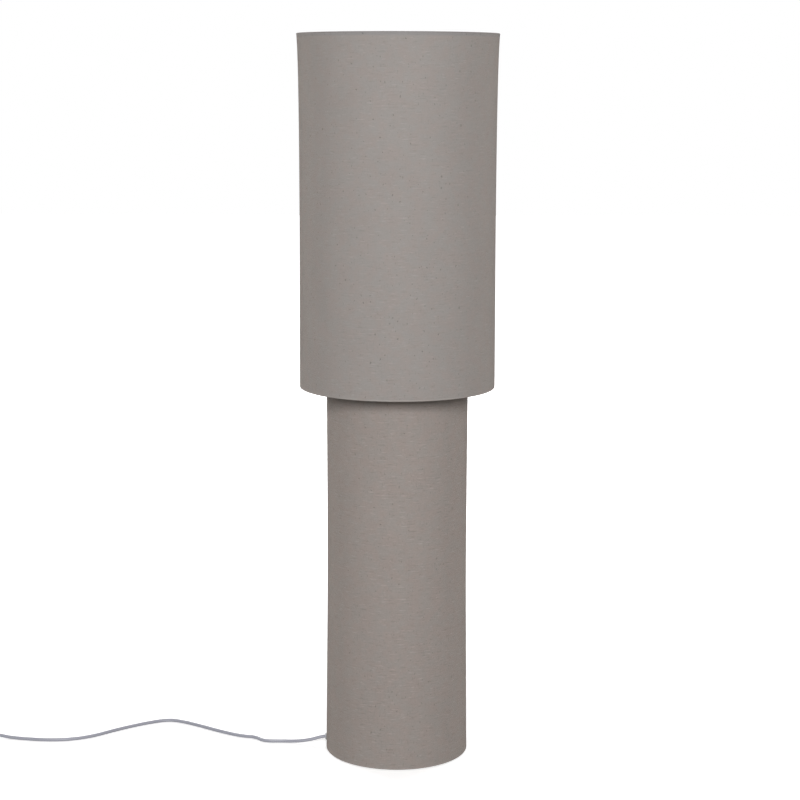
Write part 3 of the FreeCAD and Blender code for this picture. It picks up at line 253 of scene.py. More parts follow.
def woven_fabric(name, low, high, tint, coarse=1.0, flecks=0.34, long_thread=None):
    """Fine matt weave with slubs and specks, greyer over the upper hem, painted highlight on the lower edge, painted
    shade on the upper rim.
    """
    cloth = Finish(name, roughness=0.92, specular_ior_level=0.06, sheen_weight=0.25, sheen_roughness=0.5,
                   sheen_tint=opaque(1.0, 0.86, 0.76))
    _, (_, _, height) = cloth.place()
    spot, (along, up) = cloth.cloth_place()
    drift = cloth.noise(cloth.stretched(spot, (30.0, 160.0, 1.0)), 1.0) * 0.0005
    weft = cloth.function("SINE", (up + drift) * (FULL_TURN / THREAD_PITCH))
    warp = cloth.function("SINE", along * (FULL_TURN / THREAD_PITCH))
    weave = warp * weft
    across = cloth.noise(cloth.stretched(spot, (55.0, 400.0, 1.0)), 1.0, detail=2.0)
    slubs = cloth.ramp(across, 0.60, 0.72)
    thin = cloth.ramp(across, 0.40, 0.29)
    upright = cloth.ramp(cloth.noise(cloth.stretched(spot, (430.0, 75.0, 1.0), (3.1, 1.7, 0.0)), 1.0, 2.0), 0.6, 0.72)
    specks = cloth.ramp(cloth.noise(cloth.stretched(spot, (1.0, 0.7, 1.0), (7.3, 2.9, 0.0)), 235.0, 1.0), 0.69, 0.76)
    cloudy = cloth.noise(spot, 14.0, 3.0)
    mottle = cloth.noise(cloth.stretched(spot, (1.0, 1.5, 1.0)), 250.0, 3.0, 0.7)
    uneven = cloth.noise(cloth.stretched(spot, (1.0, 1.4, 1.0), (4.7, 0.9, 0.0)), 85.0, 2.0) - 0.5
    rough = slubs * 0.15 - thin * 0.12 - upright * 0.08 + (mottle - 0.5) * 0.23 + uneven * 0.07 + weave * 0.035
    shade = 1.0 + rough * coarse - specks * flecks + (cloudy - 0.5) * 0.09
    if long_thread:
        level, start, end = long_thread
        off = cloth.function("ABSOLUTE", up - level)
        thread = cloth.ramp(off, 0.0002, 0.0006, 1.0, 0.0) * (along > start) * (along < end)
        shade = shade - thread * 0.07
    hem = cloth.ramp(height, high - HEM_BAND, high - HEM_BAND / 2)
    # painted highlight: the lowest few millimetres of the cloth are drawn lighter
    edge = cloth.ramp(height, low + PAINTED_LIT_EDGE, low + PAINTED_LIT_EDGE + 0.001, 1.0, 0.0)
    warm, cool, greyed = (opaque(*(one * share for one, share in zip(tint, shares)))
                          for shares in (WARM_YARN, COOL_YARN, HEM_SHADE))
    yarn = cloth.mix(cloth.ramp(cloth.noise(spot, 45.0, 3.0), 0.35, 0.65), warm, cool)
    # painted shade: the cloth is drawn darker over the top of the upper rim
    rim = cloth.ramp(height, high - PAINTED_RIM_SHADE, high - 0.0010)
    colour = cloth.mix(hem, yarn, greyed)
    # adds the painted highlight on the lower edge and the painted shade on the top of the upper rim
    shade = shade + edge * 0.12 - rim * 0.14
    relief = weave + slubs * 1.6 + upright * 0.8 + (mottle - 0.5) * 1.5 - hem * 1.2
    return cloth.paint(base_color=cloth.scaled(colour, shade), normal=cloth.bump(relief, 0.00009))


def moulded(name, colour, roughness, depth=0.00003, grain=900.0, **same):
    """Moulded plastic with a faint skin."""
    plastic = Finish(name, **same)
    spot, _ = plastic.place()
    skin = plastic.noise(spot, grain, 3.0)
    broad = plastic.noise(spot, 35.0, 2.0)
    tone = plastic.scaled(opaque(*colour), 0.985 + broad * 0.03)
    rough = roughness - 0.04 + skin * 0.08
    return plastic.paint(base_color=tone, roughness=rough, normal=plastic.bump(skin, depth))


def powder_coat(name, colour):
    """White baked powder: a fine orange peel."""
    coat = Finish(name, specular_ior_level=0.45)
    spot, _ = coat.place()
    peel = coat.noise(spot, 1400.0, 2.0)
    tone = coat.scaled(opaque(*colour), 0.98 + coat.noise(spot, 40.0) * 0.04)
    return coat.paint(base_color=tone, roughness=0.36 + peel * 0.12, normal=coat.bump(peel, 0.00005))


def plated(name, colour, roughness, streak=(400.0, 400.0, 60.0)):
    """Bare or plated metal with fine marks."""
    metal = Finish(name, metallic=1.0)
    spot, _ = metal.place()
    marks = metal.noise(metal.stretched(spot, streak), 1.0, 4.0, 0.6)
    dull = metal.noise(spot, 90.0, 2.0)
    tone = metal.scaled(opaque(*colour), 0.9 + marks * 0.2)
    return metal.paint(base_color=tone, roughness=roughness + dull * 0.14, normal=metal.bump(marks, 0.00002))


def needle_felt(name):
    felt = Finish(name, roughness=1.0, sheen_weight=0.3)
    spot, _ = felt.place()
    fuzz = felt.noise(spot, 1900.0, 5.0, 0.7)
    patches = felt.noise(spot, 120.0, 2.0)
    tone = felt.scaled(opaque(0.075, 0.075, 0.078), 0.55 + fuzz * 0.6 + patches * 0.3)
    return felt.paint(base_color=tone, normal=felt.bump(fuzz, 0.0004))


def film_white(name):
    """Stiff white film: satin, with the faint ripple of a rolled sheet."""
    film = Finish(name, specular_ior_level=0.4)
    spot, _ = film.place()
    ripple = film.noise(film.stretched(spot, (12.0, 12.0, 2.5)), 1.0, 2.0)
    dust = film.noise(spot, 600.0, 3.0)
    tone = film.scaled(opaque(0.89, 0.845, 0.775), 0.97 + ripple * 0.05)
    return film.paint(base_color=tone, roughness=0.42 + dust * 0.1, normal=film.bump(ripple, 0.0006))


def cord_sheath(name):
    """Smooth light grey sheath, very slightly uneven."""
    sheath = Finish(name, specular_ior_level=0.5)
    spot, _ = sheath.place()
    faint = sheath.noise(spot, 260.0, 3.0)
    broad = sheath.noise(spot, 22.0, 2.0)
    tone = sheath.scaled(opaque(0.32, 0.325, 0.375), 0.96 + faint * 0.05 + broad * 0.03)
    return sheath.paint(base_color=tone, roughness=0.3 + faint * 0.1, normal=sheath.bump(faint, 0.00006))


COLUMN_LOW, COLUMN_HIGH = (corner.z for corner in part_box("column_cover"))
SHADE_LOW, SHADE_HIGH = (corner.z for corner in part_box("shade_cover"))

FINISHES = {
    "column_fabric": woven_fabric("column_fabric", COLUMN_LOW, COLUMN_HIGH, (0.294, 0.260, 0.241),
                                  coarse=1.2, flecks=0.27),
    # the shade's cloth is the column's cloth; its slightly cooler, more neutral tint is painted cooler light on the
    # shade
    "shade_fabric": woven_fabric("shade_fabric", SHADE_LOW, SHADE_HIGH, (0.286, 0.262, 0.248), coarse=0.78,
                                 long_thread=LONG_THREAD),
    "film": film_white("white_film"),
    "white_wire": powder_coat("white_wire", (0.78, 0.78, 0.76)),
    "base_steel": powder_coat("base_steel", (0.72, 0.72, 0.71)),
    "white_tube": powder_coat("white_tube", (0.76, 0.76, 0.75)),
    "felt": needle_felt("grey_felt"),
    "zinc_steel": plated("zinc_plate", (0.62, 0.63, 0.65), 0.28),
    "brass": plated("plain_brass", (0.75, 0.56, 0.27), 0.24),
    "nickel": plated("nickel_plate", (0.68, 0.66, 0.62), 0.2, (60.0, 60.0, 600.0)),
    "holder_plastic": moulded("holder_plastic", (0.82, 0.82, 0.80), 0.28),
    "insulator": moulded("dark_insulator", (0.03, 0.03, 0.033), 0.35),
    "bulb_plastic": moulded("bulb_housing_plastic", (0.80, 0.80, 0.79), 0.42),
    "bulb_opal": moulded("opal_globe", (0.86, 0.86, 0.84), 0.38, subsurface_weight=0.25),
    "clear_plastic": moulded("gland_plastic", (0.52, 0.53, 0.56), 0.25),
    "cord_plastic": cord_sheath("cord_sheath"),
    "switch_plastic": moulded("switch_plastic", (0.40, 0.41, 0.45), 0.33, depth=0.00006),
    "plug_plastic": moulded("plug_plastic", (0.38, 0.385, 0.43), 0.3, depth=0.00006),
    "tie_plastic": moulded("soft_band", (0.75, 0.75, 0.76), 0.5),
}
FABRIC_OF = {"column_cover": "column_fabric", "shade_cover": "shade_fabric"}


def dress_solids():
    """Gives every solid its finish from the record's slot."""
    for entry in frame["record"]["subparts"]:
        node = frame["nodes"][entry["node"]]
        finish = FINISHES[FABRIC_OF.get(entry["node"], entry["material_slot"])]
        node.data.materials.clear()
        node.data.materials.append(finish)


# ---- shapes -------------------------------------------------------------------------------------------------------

def rounded(corners, closed=True, steps=5):
    """The outline in millimetres, with an arc in place of each corner (x, y, radius) that names a radius."""
    places = [Vector((corner[0], corner[1])) for corner in corners]
    outline = []
    for number, corner in enumerate(corners):
        here = places[number]
        if len(corner) < 3 or (not closed and number in (0, len(corners) - 1)):
            outline.append(here)
            continue
        back = (places[number - 1] - here).normalized()
        ahead = (places[(number + 1) % len(places)] - here).normalized()
        half_turn = (math.pi - back.angle(ahead)) / 2
        reach = corner[2] * math.tan(half_turn)
        middle = here + (back + ahead).normalized() * (corner[2] / math.cos(half_turn))
        first = here + back * reach - middle
        last = here + ahead * reach - middle
        sweep = first.angle_signed(last)
        for step in range(steps + 1):
            outline.append(middle + Matrix.Rotation(-sweep * step / steps, 2) @ first)
    return outline


def arc(x, y, radius, start, end, steps=8):
    """Points on an arc, with its angles in degrees."""
    angles = [math.radians(start + (end - start) * step / steps) for step in range(steps + 1)]
    return [(x + radius * math.cos(angle), y + radius * math.sin(angle)) for angle in angles]


def lathe(section, closed=True, steps=96, angle=FULL_TURN, start=0.0):
    """Spins a section of (radius, height) millimetres about the lamp's axis."""
    shape = bmesh.new()
    along = shape.verts.layers.float.new("along")
    turn = Matrix.Rotation(start, 3, "Z")
    corners = [shape.verts.new(turn @ Vector((radius, 0.0, height)) * MM) for radius, height in section]
    run = 0.0
    for before, after in zip(corners, corners[1:]):
        run += (after.co - before.co).length
        after[along] = run
    edges = [shape.edges.new(pair) for pair in zip(corners, corners[1:])]
    if closed:
        edges.append(shape.edges.new((corners[-1], corners[0])))
    whole = abs(angle - FULL_TURN) < 1e-6
    bmesh.ops.spin(shape, geom=corners + edges, cent=(0, 0, 0), axis=(0, 0, 1), angle=angle, steps=steps,
                   use_merge=whole)
    bmesh.ops.remove_doubles(shape, verts=shape.verts, dist=2e-6)
    bmesh.ops.recalc_face_normals(shape, faces=shape.faces)
    return shape


def move(shape, matrix):
    bmesh.ops.transform(shape, matrix=matrix, verts=shape.verts)
    return shape


def joined(*shapes):
    """One bmesh from several."""
    whole = shapes[0]
    for other in shapes[1:]:
        spare = bpy.data.meshes.new("spare")
        other.to_mesh(spare)
        other.free()
        whole.from_mesh(spare)
        bpy.data.meshes.remove(spare)
    return whole


def finished(name, shape, finish, body, *nodes, slot=None, sharp=32.0):
    """Turns a bmesh into a piece of the lamp that rides on a body and stands for its solids."""
    mesh = bpy.data.meshes.new(name)
    shape.to_mesh(mesh)
    shape.free()
    mesh.shade_smooth()
    mesh.set_sharp_from_angle(angle=math.radians(sharp))
    mesh.materials.append(FINISHES[finish])
    made = bpy.data.objects.new(name, mesh)
    bpy.context.scene.collection.objects.link(made)
    settle(made, body, nodes)
    return made


def settle(made, body, nodes):
    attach(made, body)
    if nodes:
        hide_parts(*nodes)


def levels(node):
    """A solid's lowest and highest level, in millimetres."""
    low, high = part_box(node)
    return low.z / MM, high.z / MM


def radius_of(node):
    low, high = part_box(node)
    return (high.y - low.y) / 2 / MM


def drawn(name, lines, finish, body, *nodes, closed=(), smooth=6):
    """Wires or tubes along lines of millimetre points, each with its diameter."""
    data = bpy.data.curves.new(name, "CURVE")
    data.dimensions = "3D"
    data.bevel_mode = "ROUND"
    data.bevel_depth = 0.5 * MM
    data.bevel_resolution = smooth
    data.use_fill_caps = True
    for number, (diameter, points) in enumerate(lines):
        spline = data.splines.new("POLY")
        spline.points.add(len(points) - 1)
        for spot, place in zip(spline.points, points):
            spot.co = (*(Vector(place) * MM), 1.0)
            spot.radius = diameter
        spline.use_cyclic_u = number in closed
    data.materials.append(FINISHES[finish])
    made = bpy.data.objects.new(name, data)
    bpy.context.scene.collection.objects.link(made)
    settle(made, body, nodes)
    return made


# ---- fabric walls -------------------------------------------------------------------------------------------------

HEM_RADIUS = 2.85           # rim ring's middle to the fabric's outside
HEM_LIP = 4.5               # fabric turned in behind the ring
HEM_BEND = 1.1              # the rim's outer corner
HEM_INNER_BEND = 2.2
FABRIC = 0.7
FILM = 0.8


class Wall:
    """A round wall: its outside is one soft curve from rim to rim, wider at the rims than between them."""

    def __init__(self, node, foot, foot_pull, head, head_pull, waist):
        self.low, self.high = levels(node)
        self.foot = Vector((foot, self.low + HEM_RADIUS))
        self.head = Vector((head, self.high - HEM_RADIUS))
        self.foot_pull = Vector((waist, self.low + foot_pull))
        self.head_pull = Vector((waist, self.high - head_pull))

    def line(self, inset=0.0, rows=40):
        curve = interpolate_bezier(self.foot, self.foot_pull, self.head_pull, self.head, rows)
        return [(spot.x - inset, spot.y) for spot in curve]

    def covering(self, proud=0.0):
        """The fabric's outside from lip to lip, over both rim rings."""
        bead = HEM_RADIUS + proud
        line = self.line(-proud)
        ends = []
        for rim, near, way in ((self.foot, line[1], -1), (self.head, line[-2], 1)):
            inside = rim.x - HEM_RADIUS - bead
            corner = rim.x + proud + (rim.x - near[0] - proud) / abs(rim.y - near[1]) * bead
            level = rim.y + way * bead
            ends.append([(inside, rim.y - way * HEM_LIP), (inside, level, HEM_INNER_BEND), (corner, level, HEM_BEND)])
        return rounded(ends[0] + line + ends[1][::-1], closed=False, steps=6)


column_wall = Wall("column_cover", foot=129.95, foot_pull=396.5, head=127.44, head_pull=445.4, waist=125.87)
shade_wall = Wall("shade_cover", foot=175.48, foot_pull=304.7, head=178.24, head_pull=55.0, waist=173.66)


def lay_cloth(shape, radius):
    """Gives a wall the cloth's own coordinates: along it and up it, in metres."""
    along = shape.verts.layers.float["along"]
    cloth = shape.loops.layers.uv.new("cloth")
    for face in shape.faces:
        middle = face.calc_center_median()
        heading = math.atan2(middle.x, -middle.y)
        for loop in face.loops:
            turn = math.atan2(loop.vert.co.x, -loop.vert.co.y)
            turn += FULL_TURN * round((heading - turn) / FULL_TURN)
            loop[cloth].uv = (turn * radius * MM, loop.vert[along])


def thicken(piece, thickness):
    """Gives a skin its thickness, inwards."""
    wall = piece.modifiers.new("thickness", "SOLIDIFY")
    wall.thickness = thickness * MM
    wall.offset = -1.0
    wall.use_even_offset = True


def face_out(shape):
    """Turns an open wall's faces away from the axis."""
    wall = max(shape.faces, key=lambda face: face.calc_area())
    middle = wall.calc_center_median()
    if wall.normal.dot(Vector((middle.x, middle.y, 0))) < 0:
        bmesh.ops.reverse_faces(shape, faces=shape.faces)


BACK = math.pi / 2          # the seams run up the back
LAP_WIDTH = 11.0
LAP_PROUD = 0.45
LAP_FABRIC = 0.6


def cover(name, wall, body, node):
    shape = lathe(wall.covering(), closed=False, steps=180, start=BACK)
    face_out(shape)
    lay_cloth(shape, wall.foot.x)
    made = finished(name, shape, FABRIC_OF[node], body, node, slot="fabric", sharp=60.0)
    thicken(made, FABRIC)
    width = LAP_WIDTH / wall.foot.x
    lap = lathe(wall.covering(proud=LAP_PROUD)[1:-1], closed=False, steps=4, angle=width, start=BACK - width / 2)
    face_out(lap)
    lay_cloth(lap, wall.foot.x)
    seam = finished(name + "_seam", lap, FABRIC_OF[node], body, slot="fabric", sharp=60.0)
    thicken(seam, LAP_FABRIC)
    return made


def film(name, wall, body, node):
    """The film stands between the rings, a little inside the fabric."""
    inset = FABRIC + 0.15
    short = HEM_RADIUS + 2.2
    rows = [(radius, height) for radius, height in wall.line(inset)
            if wall.low + short <= height <= wall.high - short]
    ends = [(rows[0][0] + 0.02, wall.low + short)] + rows + [(rows[-1][0] + 0.02, wall.high - short)]
    shape = lathe(ends, closed=False, steps=180)
    face_out(shape)
    thicken(finished(name, shape, "film", body, node, sharp=60.0), FILM)


def make_walls():
    column = cover("column_fabric", column_wall, "root", "column_cover")
    shade = cover("shade_fabric", shade_wall, "shade", "shade_cover")
    film("column_film", column_wall, "root", "column_liner")
    film("shade_film", shade_wall, "shade", "shade_liner")
    return column, shade


# ---- wire frames --------------------------------------------------------------------------------------------------

RIM_WIRE = 4.0
ARM_WIRE = 2.5
HUB_PLATE = 2
ARM_ON_HUB = 1.05           # an arm's middle line to the face it is welded to


def rim_circle(radius, height, steps=144):
    return [(x, y, height) for x, y in arc(0, 0, radius, 0, 360, steps)[:-1]]


def wire_frame(name, node, body, ring, ring_height, hub, hub_low, hole, arm_height, bend, lean=0.0):
    """Rim ring, three bent arms and hub plate, with weld beads where they meet."""
    way = 1 if arm_height > ring_height else -1
    end = (ring - 0.65, ring_height + way * 1.6)
    knee = (end[0] - lean, arm_height, bend)
    side = rounded([(hub - 2.5, arm_height), knee, end], closed=False, steps=8)
    lines = []
    beads = []
    for turn in (0, 120, 240):
        spin = Matrix.Rotation(math.radians(turn), 3, "Z")
        lines.append((ARM_WIRE, [spin @ Vector((radius, 0, height)) for radius, height in side]))
        beads += [spin @ Vector((ring - 0.7, 0, ring_height + way * 1.5)), spin @ Vector((hub - 2.0, 0, arm_height))]
    lines.append((RIM_WIRE, rim_circle(ring, ring_height)))
    drawn(name, lines, "white_wire", body, node, closed=(3,))
    plate = lathe(rounded([(hole, hub_low, 0.3), (hub, hub_low, 0.5), (hub, hub_low + HUB_PLATE, 0.5),
                           (hole, hub_low + HUB_PLATE, 0.3)]), steps=64)
    for bead in beads:
        drop = bmesh.new()
        bmesh.ops.create_uvsphere(drop, u_segments=12, v_segments=8, radius=1.6 * MM)
        bmesh.ops.scale(drop, vec=(1.0, 1.25, 0.8), verts=drop.verts)
        heading = Matrix.Rotation(math.atan2(bead.y, bead.x), 4, "Z")
        plate = joined(plate, move(drop, Matrix.Translation(bead * MM) @ heading))
    finished(name + "_hub", plate, "white_wire", body)


def make_frames():
    foot_ring = column_wall.foot.x - HEM_RADIUS
    head_ring = column_wall.head.x - HEM_RADIUS
    shade_ring = shade_wall.foot.x - HEM_RADIUS
    _, base_top = levels("base_plate")
    wire_frame("column_foot_wire", "column_foot_frame", "root", foot_ring, column_wall.foot.y, 17.0, base_top, 5.3,
               base_top + HUB_PLATE + ARM_ON_HUB, 5.0)
    _, pole_top = levels("lower_pole")
    wire_frame("column_head_wire", "column_head_frame", "root", head_ring, column_wall.head.y, 17.0, pole_top, 5.3,
               pole_top + HUB_PLATE + ARM_ON_HUB, 9.0)
    _, fitter = levels("holder_cap")
    fitter += 3.0
    wire_frame("shade_wire", "shade_frame", "shade", shade_ring, shade_wall.foot.y, 29.0, fitter, 20.1,
               fitter - ARM_ON_HUB, 9.0, lean=0.5)
    drawn("shade_head_wire", [(RIM_WIRE, rim_circle(shade_wall.head.x - HEM_RADIUS, shade_wall.head.y))],
          "white_wire", "shade", "shade_head_ring", closed=(0,))


# ---- base and pole ------------------------------------------------------------------------------------------------

def make_base():
    low, high = levels("foot_pad")
    radius = radius_of("foot_pad")
    finished("foot_felt", lathe(rounded([(0, low), (radius, low, 0.5), (radius, high, 0.5), (0, high)]), closed=False),
             "felt", "root", "foot_pad")
    low, high = levels("upper_pole")
    finished("upper_tube", lathe(rounded([(6.5, low, 0.2), (8, low, 0.3), (8, high, 0.3), (6.5, high, 0.2)]), steps=48),
             "white_tube", "root", "upper_pole")


# ---- lampholder ---------------------------------------------------------------------------------------------------

SHELL_PITCH = 3.629
SKIRT_PITCH = 2.5


def roll_thread(shape, depth, pitch, low, high):
    """Presses a round right-hand thread into a thin wall."""
    for corner in shape.verts:
        height = corner.co.z / MM
        turn = math.atan2(corner.co.y, corner.co.x) / FULL_TURN
        fade = min(1.0, max(0.0, (height - low) / pitch), max(0.0, (high - height) / pitch))
        radius = math.hypot(corner.co.x, corner.co.y)
        push = depth * MM * fade * (math.cos(FULL_TURN * (height / pitch - turn)) - 1) / 2
        corner.co.x *= 1 + push / radius
        corner.co.y *= 1 + push / radius
    return shape


def tube_rows(radius, low, high, step=0.5):
    count = max(2, round((high - low) / step))
    return [(radius, low + (high - low) * row / count) for row in range(count + 1)]


def make_lampholder():
    cap_low, cap_top = levels("holder_cap")
    finished("holder_dome", lathe(rounded([
        (5.05, cap_low, 0.3), (9, cap_low, 0.8), (9, cap_low + 5, 0.8), (16, cap_low + 6.5, 6), (21, cap_low + 14, 6),
        (21, cap_top, 0.4), (18.8, cap_top, 0.3), (18.8, cap_low + 15, 6), (14, cap_low + 8, 4), (5.05, cap_low + 7.2),
    ]), steps=96), "holder_plastic", "root", "holder_cap")
    _, skirt_top = levels("holder_skirt")
    shoulder = cap_top + 2.95
    skirt = lathe(rounded([
        (14.3, cap_top - 4), (18, cap_top - 4, 0.3), (18, cap_top), (24.5, cap_top, 0.5), (24.5, shoulder, 0.5),
        (19.8, shoulder)]) + [Vector(spot) for spot in tube_rows(19.8, shoulder + 0.5, skirt_top - 1.2)]
        + rounded([(19.8, skirt_top, 0.8), (14.3, skirt_top, 0.6)], closed=False), steps=96)
    roll_thread_outside(skirt, shoulder + 0.5, skirt_top - 1.0)
    finished("holder_threaded_skirt", skirt, "holder_plastic", "root", "holder_skirt")
    shell_low, shell_top = levels("screw_shell")
    shell = lathe(tube_rows(14.0, shell_low, shell_top) + tube_rows(13.6, shell_low, shell_top)[::-1], steps=72)
    finished("screw_shell_rolled", roll_thread(shell, 0.55, SHELL_PITCH, shell_low, shell_top), "brass", "root",
             "screw_shell", sharp=60.0)


def roll_thread_outside(shape, low, high):
    """Cuts the shade ring's thread into the skirt's outside only."""
    for corner in shape.verts:
        height = corner.co.z / MM
        radius = math.hypot(corner.co.x, corner.co.y) / MM
        if low < height < high and radius > 19.0:
            turn = math.atan2(corner.co.y, corner.co.x) / FULL_TURN
            fade = min(1.0, (height - low) / SKIRT_PITCH, (high - height) / SKIRT_PITCH)
            push = 0.8 * fade * (math.cos(FULL_TURN * (height / SKIRT_PITCH - turn)) - 1) / 2
            corner.co.x *= 1 + push / radius
            corner.co.y *= 1 + push / radius


RING_RIBS = 18


def make_shade_ring():
    low, high = levels("shade_ring")
    ring = lathe(rounded([(20.1, low, 0.3), (28, low, 0.7), (28, low + 2.5, 0.7), (23.2, low + 2.5, 0.4),
                          (23.2, high, 0.8), (20.1, high, 0.5)]), steps=108)
    for number in range(RING_RIBS):
        rib = bmesh.new()
        bmesh.ops.create_cone(rib, cap_ends=True, segments=14, radius1=1.35 * MM, radius2=1.2 * MM,
                              depth=(high - low - 2.2) * MM)
        bmesh.ops.bevel(rib, geom=[edge for edge in rib.edges if edge.is_manifold and edge.calc_face_angle() > 1],
                        offset=0.35 * MM, segments=2, profile=0.5, affect="EDGES", material=-1)
        turn = Matrix.Rotation(FULL_TURN * number / RING_RIBS, 4, "Z")
        spot = Vector((23.2, 0, (low + high + 1.6) / 2)) * MM
        ring = joined(ring, move(rib, turn @ Matrix.Translation(spot)))
    finished("shade_ring_nut", ring, "holder_plastic", "shade_ring", "shade_ring")


# ---- bulb ---------------------------------------------------------------------------------------------------------

def make_bulb():
    low, _ = levels("bulb_tip")
    finished("bulb_contact", lathe(rounded([(0, low), (3.6, low, 1.2), (4.8, low + 1.2, 0.8), (4.8, low + 2),
                                            (0, low + 2)], closed=False), closed=False, steps=48),
             "brass", "bulb_contact", "bulb_tip")
    cap_low = low + 2
    finished("bulb_glass_ring", lathe(rounded([(0, cap_low + 0.15), (5.8, cap_low + 0.15, 0.3), (10.5, cap_low + 3),
                                               (10.5, cap_low + 4), (0, cap_low + 4)], closed=False), closed=False,
                                      steps=48), "insulator", "bulb", "bulb_insulator")
    _, cap_top = levels("bulb_cap")
    rows = [(10.6, cap_low + 3), (11.8, cap_low + 3.9)] + tube_rows(13.0, cap_low + 4.6, cap_top)
    inner = [(radius - 0.5, height) for radius, height in rows[::-1]]
    cap = lathe(rows + inner, steps=72)
    finished("bulb_screw_cap", roll_thread(cap, 0.7, SHELL_PITCH, cap_low + 4, cap_top), "nickel", "bulb", "bulb_cap",
             sharp=60.0)
    _, seam = levels("bulb_housing")
    body_low = cap_top + 0.15
    flare = interpolate_bezier(Vector((13.8, body_low + 2)), Vector((15, body_low + 18)),
                               Vector((26.4, body_low + 16)), Vector((27, seam - 3)), 20)
    housing = [Vector((0, body_low - 3)), Vector((12.2, body_low - 3)), Vector((12.2, body_low)),
               Vector((13.4, body_low)), *flare, *rounded([(27, seam - 2), (27, seam, 0.5), (0, seam)], closed=False)]
    finished("bulb_body", lathe(housing, closed=False), "bulb_plastic", "bulb", "bulb_housing")
    globe_low, globe_top = levels("bulb_globe")
    middle = globe_top - 30
    lift = math.degrees(math.asin((globe_low + 1 - middle) / 30))
    globe = [(0, globe_low), (26.6, globe_low)] + arc(0, middle, 30, lift + 2, 89.9, 26) + [(0, globe_top)]
    finished("bulb_opal_globe", lathe(globe, closed=False), "bulb_opal", "bulb", "bulb_globe", sharp=50.0)


# ---- cord ---------------------------------------------------------------------------------------------------------

CORD = 6.0
SWITCH_BEARING = math.radians(166.0)
EXIT_BEARING = math.radians(176.0)
PLUG_BEARING = math.radians(125.0)
LIE = CORD / 2


def beyond(start, bearing, length):
    return (start[0] + length * math.cos(bearing), start[1] + length * math.sin(bearing), start[2])


def cord_curve(name, points, body, *nodes):
    """A cord of one smooth spline whose control points are the route's."""
    data = bpy.data.curves.new(name, "CURVE")
    data.dimensions = "3D"
    data.bevel_mode = "ROUND"
    data.bevel_depth = CORD / 2 * MM
    data.bevel_resolution = 8
    data.resolution_u = 10
    data.use_fill_caps = True
    spline = data.splines.new("NURBS")
    spline.points.add(len(points) - 1)
    for spot, place in zip(spline.points, points):
        spot.co = (*(Vector(place) * MM), 1.0)
    spline.order_u = 3
    spline.use_endpoint_u = True
    data.materials.append(FINISHES["cord_plastic"])
    made = bpy.data.objects.new(name, data)
    bpy.context.scene.collection.objects.link(made)
    settle(made, body, nodes)
    return made


switch_low, switch_high = (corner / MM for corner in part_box("switch_cover"))
SWITCH_EAST = (switch_low.x + switch_high.x) / 2
SWITCH_NORTH = (switch_low.y + switch_high.y) / 2
SWITCH_RADIUS = (switch_high.x - switch_low.x) / 2
SLEEVE_LENGTH = 20.0
SLEEVE_HEIGHT = 7.0
SLEEVE_STRAIGHT = 13.0      # the cord runs on this far in line with a sleeve
GLAND_TIP = 132.5
CORD_HEIGHT = 15.2
COIL_EAST, COIL_NORTH, COIL_LEVEL = -913.7, 140.0, LIE + 1.2
COIL_INNER, COIL_SPACING = 25.0, 6.5
COIL_STRAIGHT = 6.0         # straight run before the first half turn and after the last one
PLUG_HEIGHT = 7.5

switch_middle = (SWITCH_EAST, SWITCH_NORTH, SLEEVE_HEIGHT)
switch_in = beyond(switch_middle, SWITCH_BEARING, -(SWITCH_RADIUS + SLEEVE_LENGTH))
switch_out = beyond(switch_middle, SWITCH_BEARING, SWITCH_RADIUS + SLEEVE_LENGTH)
lamp_out = beyond((0.0, 0.0, CORD_HEIGHT), EXIT_BEARING, GLAND_TIP)
MAINS_ROUTE = [
    lamp_out, (-139.2, 9.5, 14.6), (-157.0, 9.2, 9.2), (-177.0, 11.0, 5.4), (-196.0, 15.0, 3.3),
    (-215.0, 17.2, LIE), (-248.0, 16.6, LIE), (-264.8, 39.5, LIE), (-292.0, 44.0, LIE), (-330.0, 67.5, LIE),
    (-373.0, 100.0, LIE), (-411.0, 126.5, LIE), (-437.0, 135.5, LIE), (-461.0, 127.5, LIE), (-500.0, 103.5, LIE),
    (-540.0, 70.5, LIE), (-570.0, 42.0, LIE), (-605.0, 24.0, LIE), (-645.0, 18.5, LIE), (-686.0, 23.5, LIE),
    (-722.0, 32.0, LIE), (-744.0, 38.5, 5.0), beyond(switch_in, SWITCH_BEARING, -SLEEVE_STRAIGHT), switch_in,
]


def coil_route():
    """Half turns that wind in on the lower layer, climb at the middle and wind out on the upper one."""
    here = Vector((COIL_EAST, COIL_NORTH, COIL_LEVEL))
    points = [tuple(here)]
    way = 1
    radii = [COIL_INNER + count * COIL_SPACING / 2 for count in (4, 3, 2, 1, 0, 1, 2, 3, 4, 5)]
    for number, radius in enumerate(radii):
        low, high = here.z, here.z + (COIL_SPACING if number == 4 else 0.0)
        start = here.copy()
        shift = COIL_STRAIGHT if number == 0 else 0.0
        for step in range(1, 9):
            turn = math.pi * (step - 0.5) / 8
            stretch = 1 / math.cos(math.pi / 16)
            rise = low + (high - low) * (1 - math.cos(turn)) / 2
            points.append((start.x + way * radius * (1 - stretch * math.cos(turn)),
                           start.y + shift + way * radius * stretch * math.sin(turn), rise))
        here = Vector((start.x + way * 2 * radius, start.y + shift, high))
        way = -way
    return points, here, way


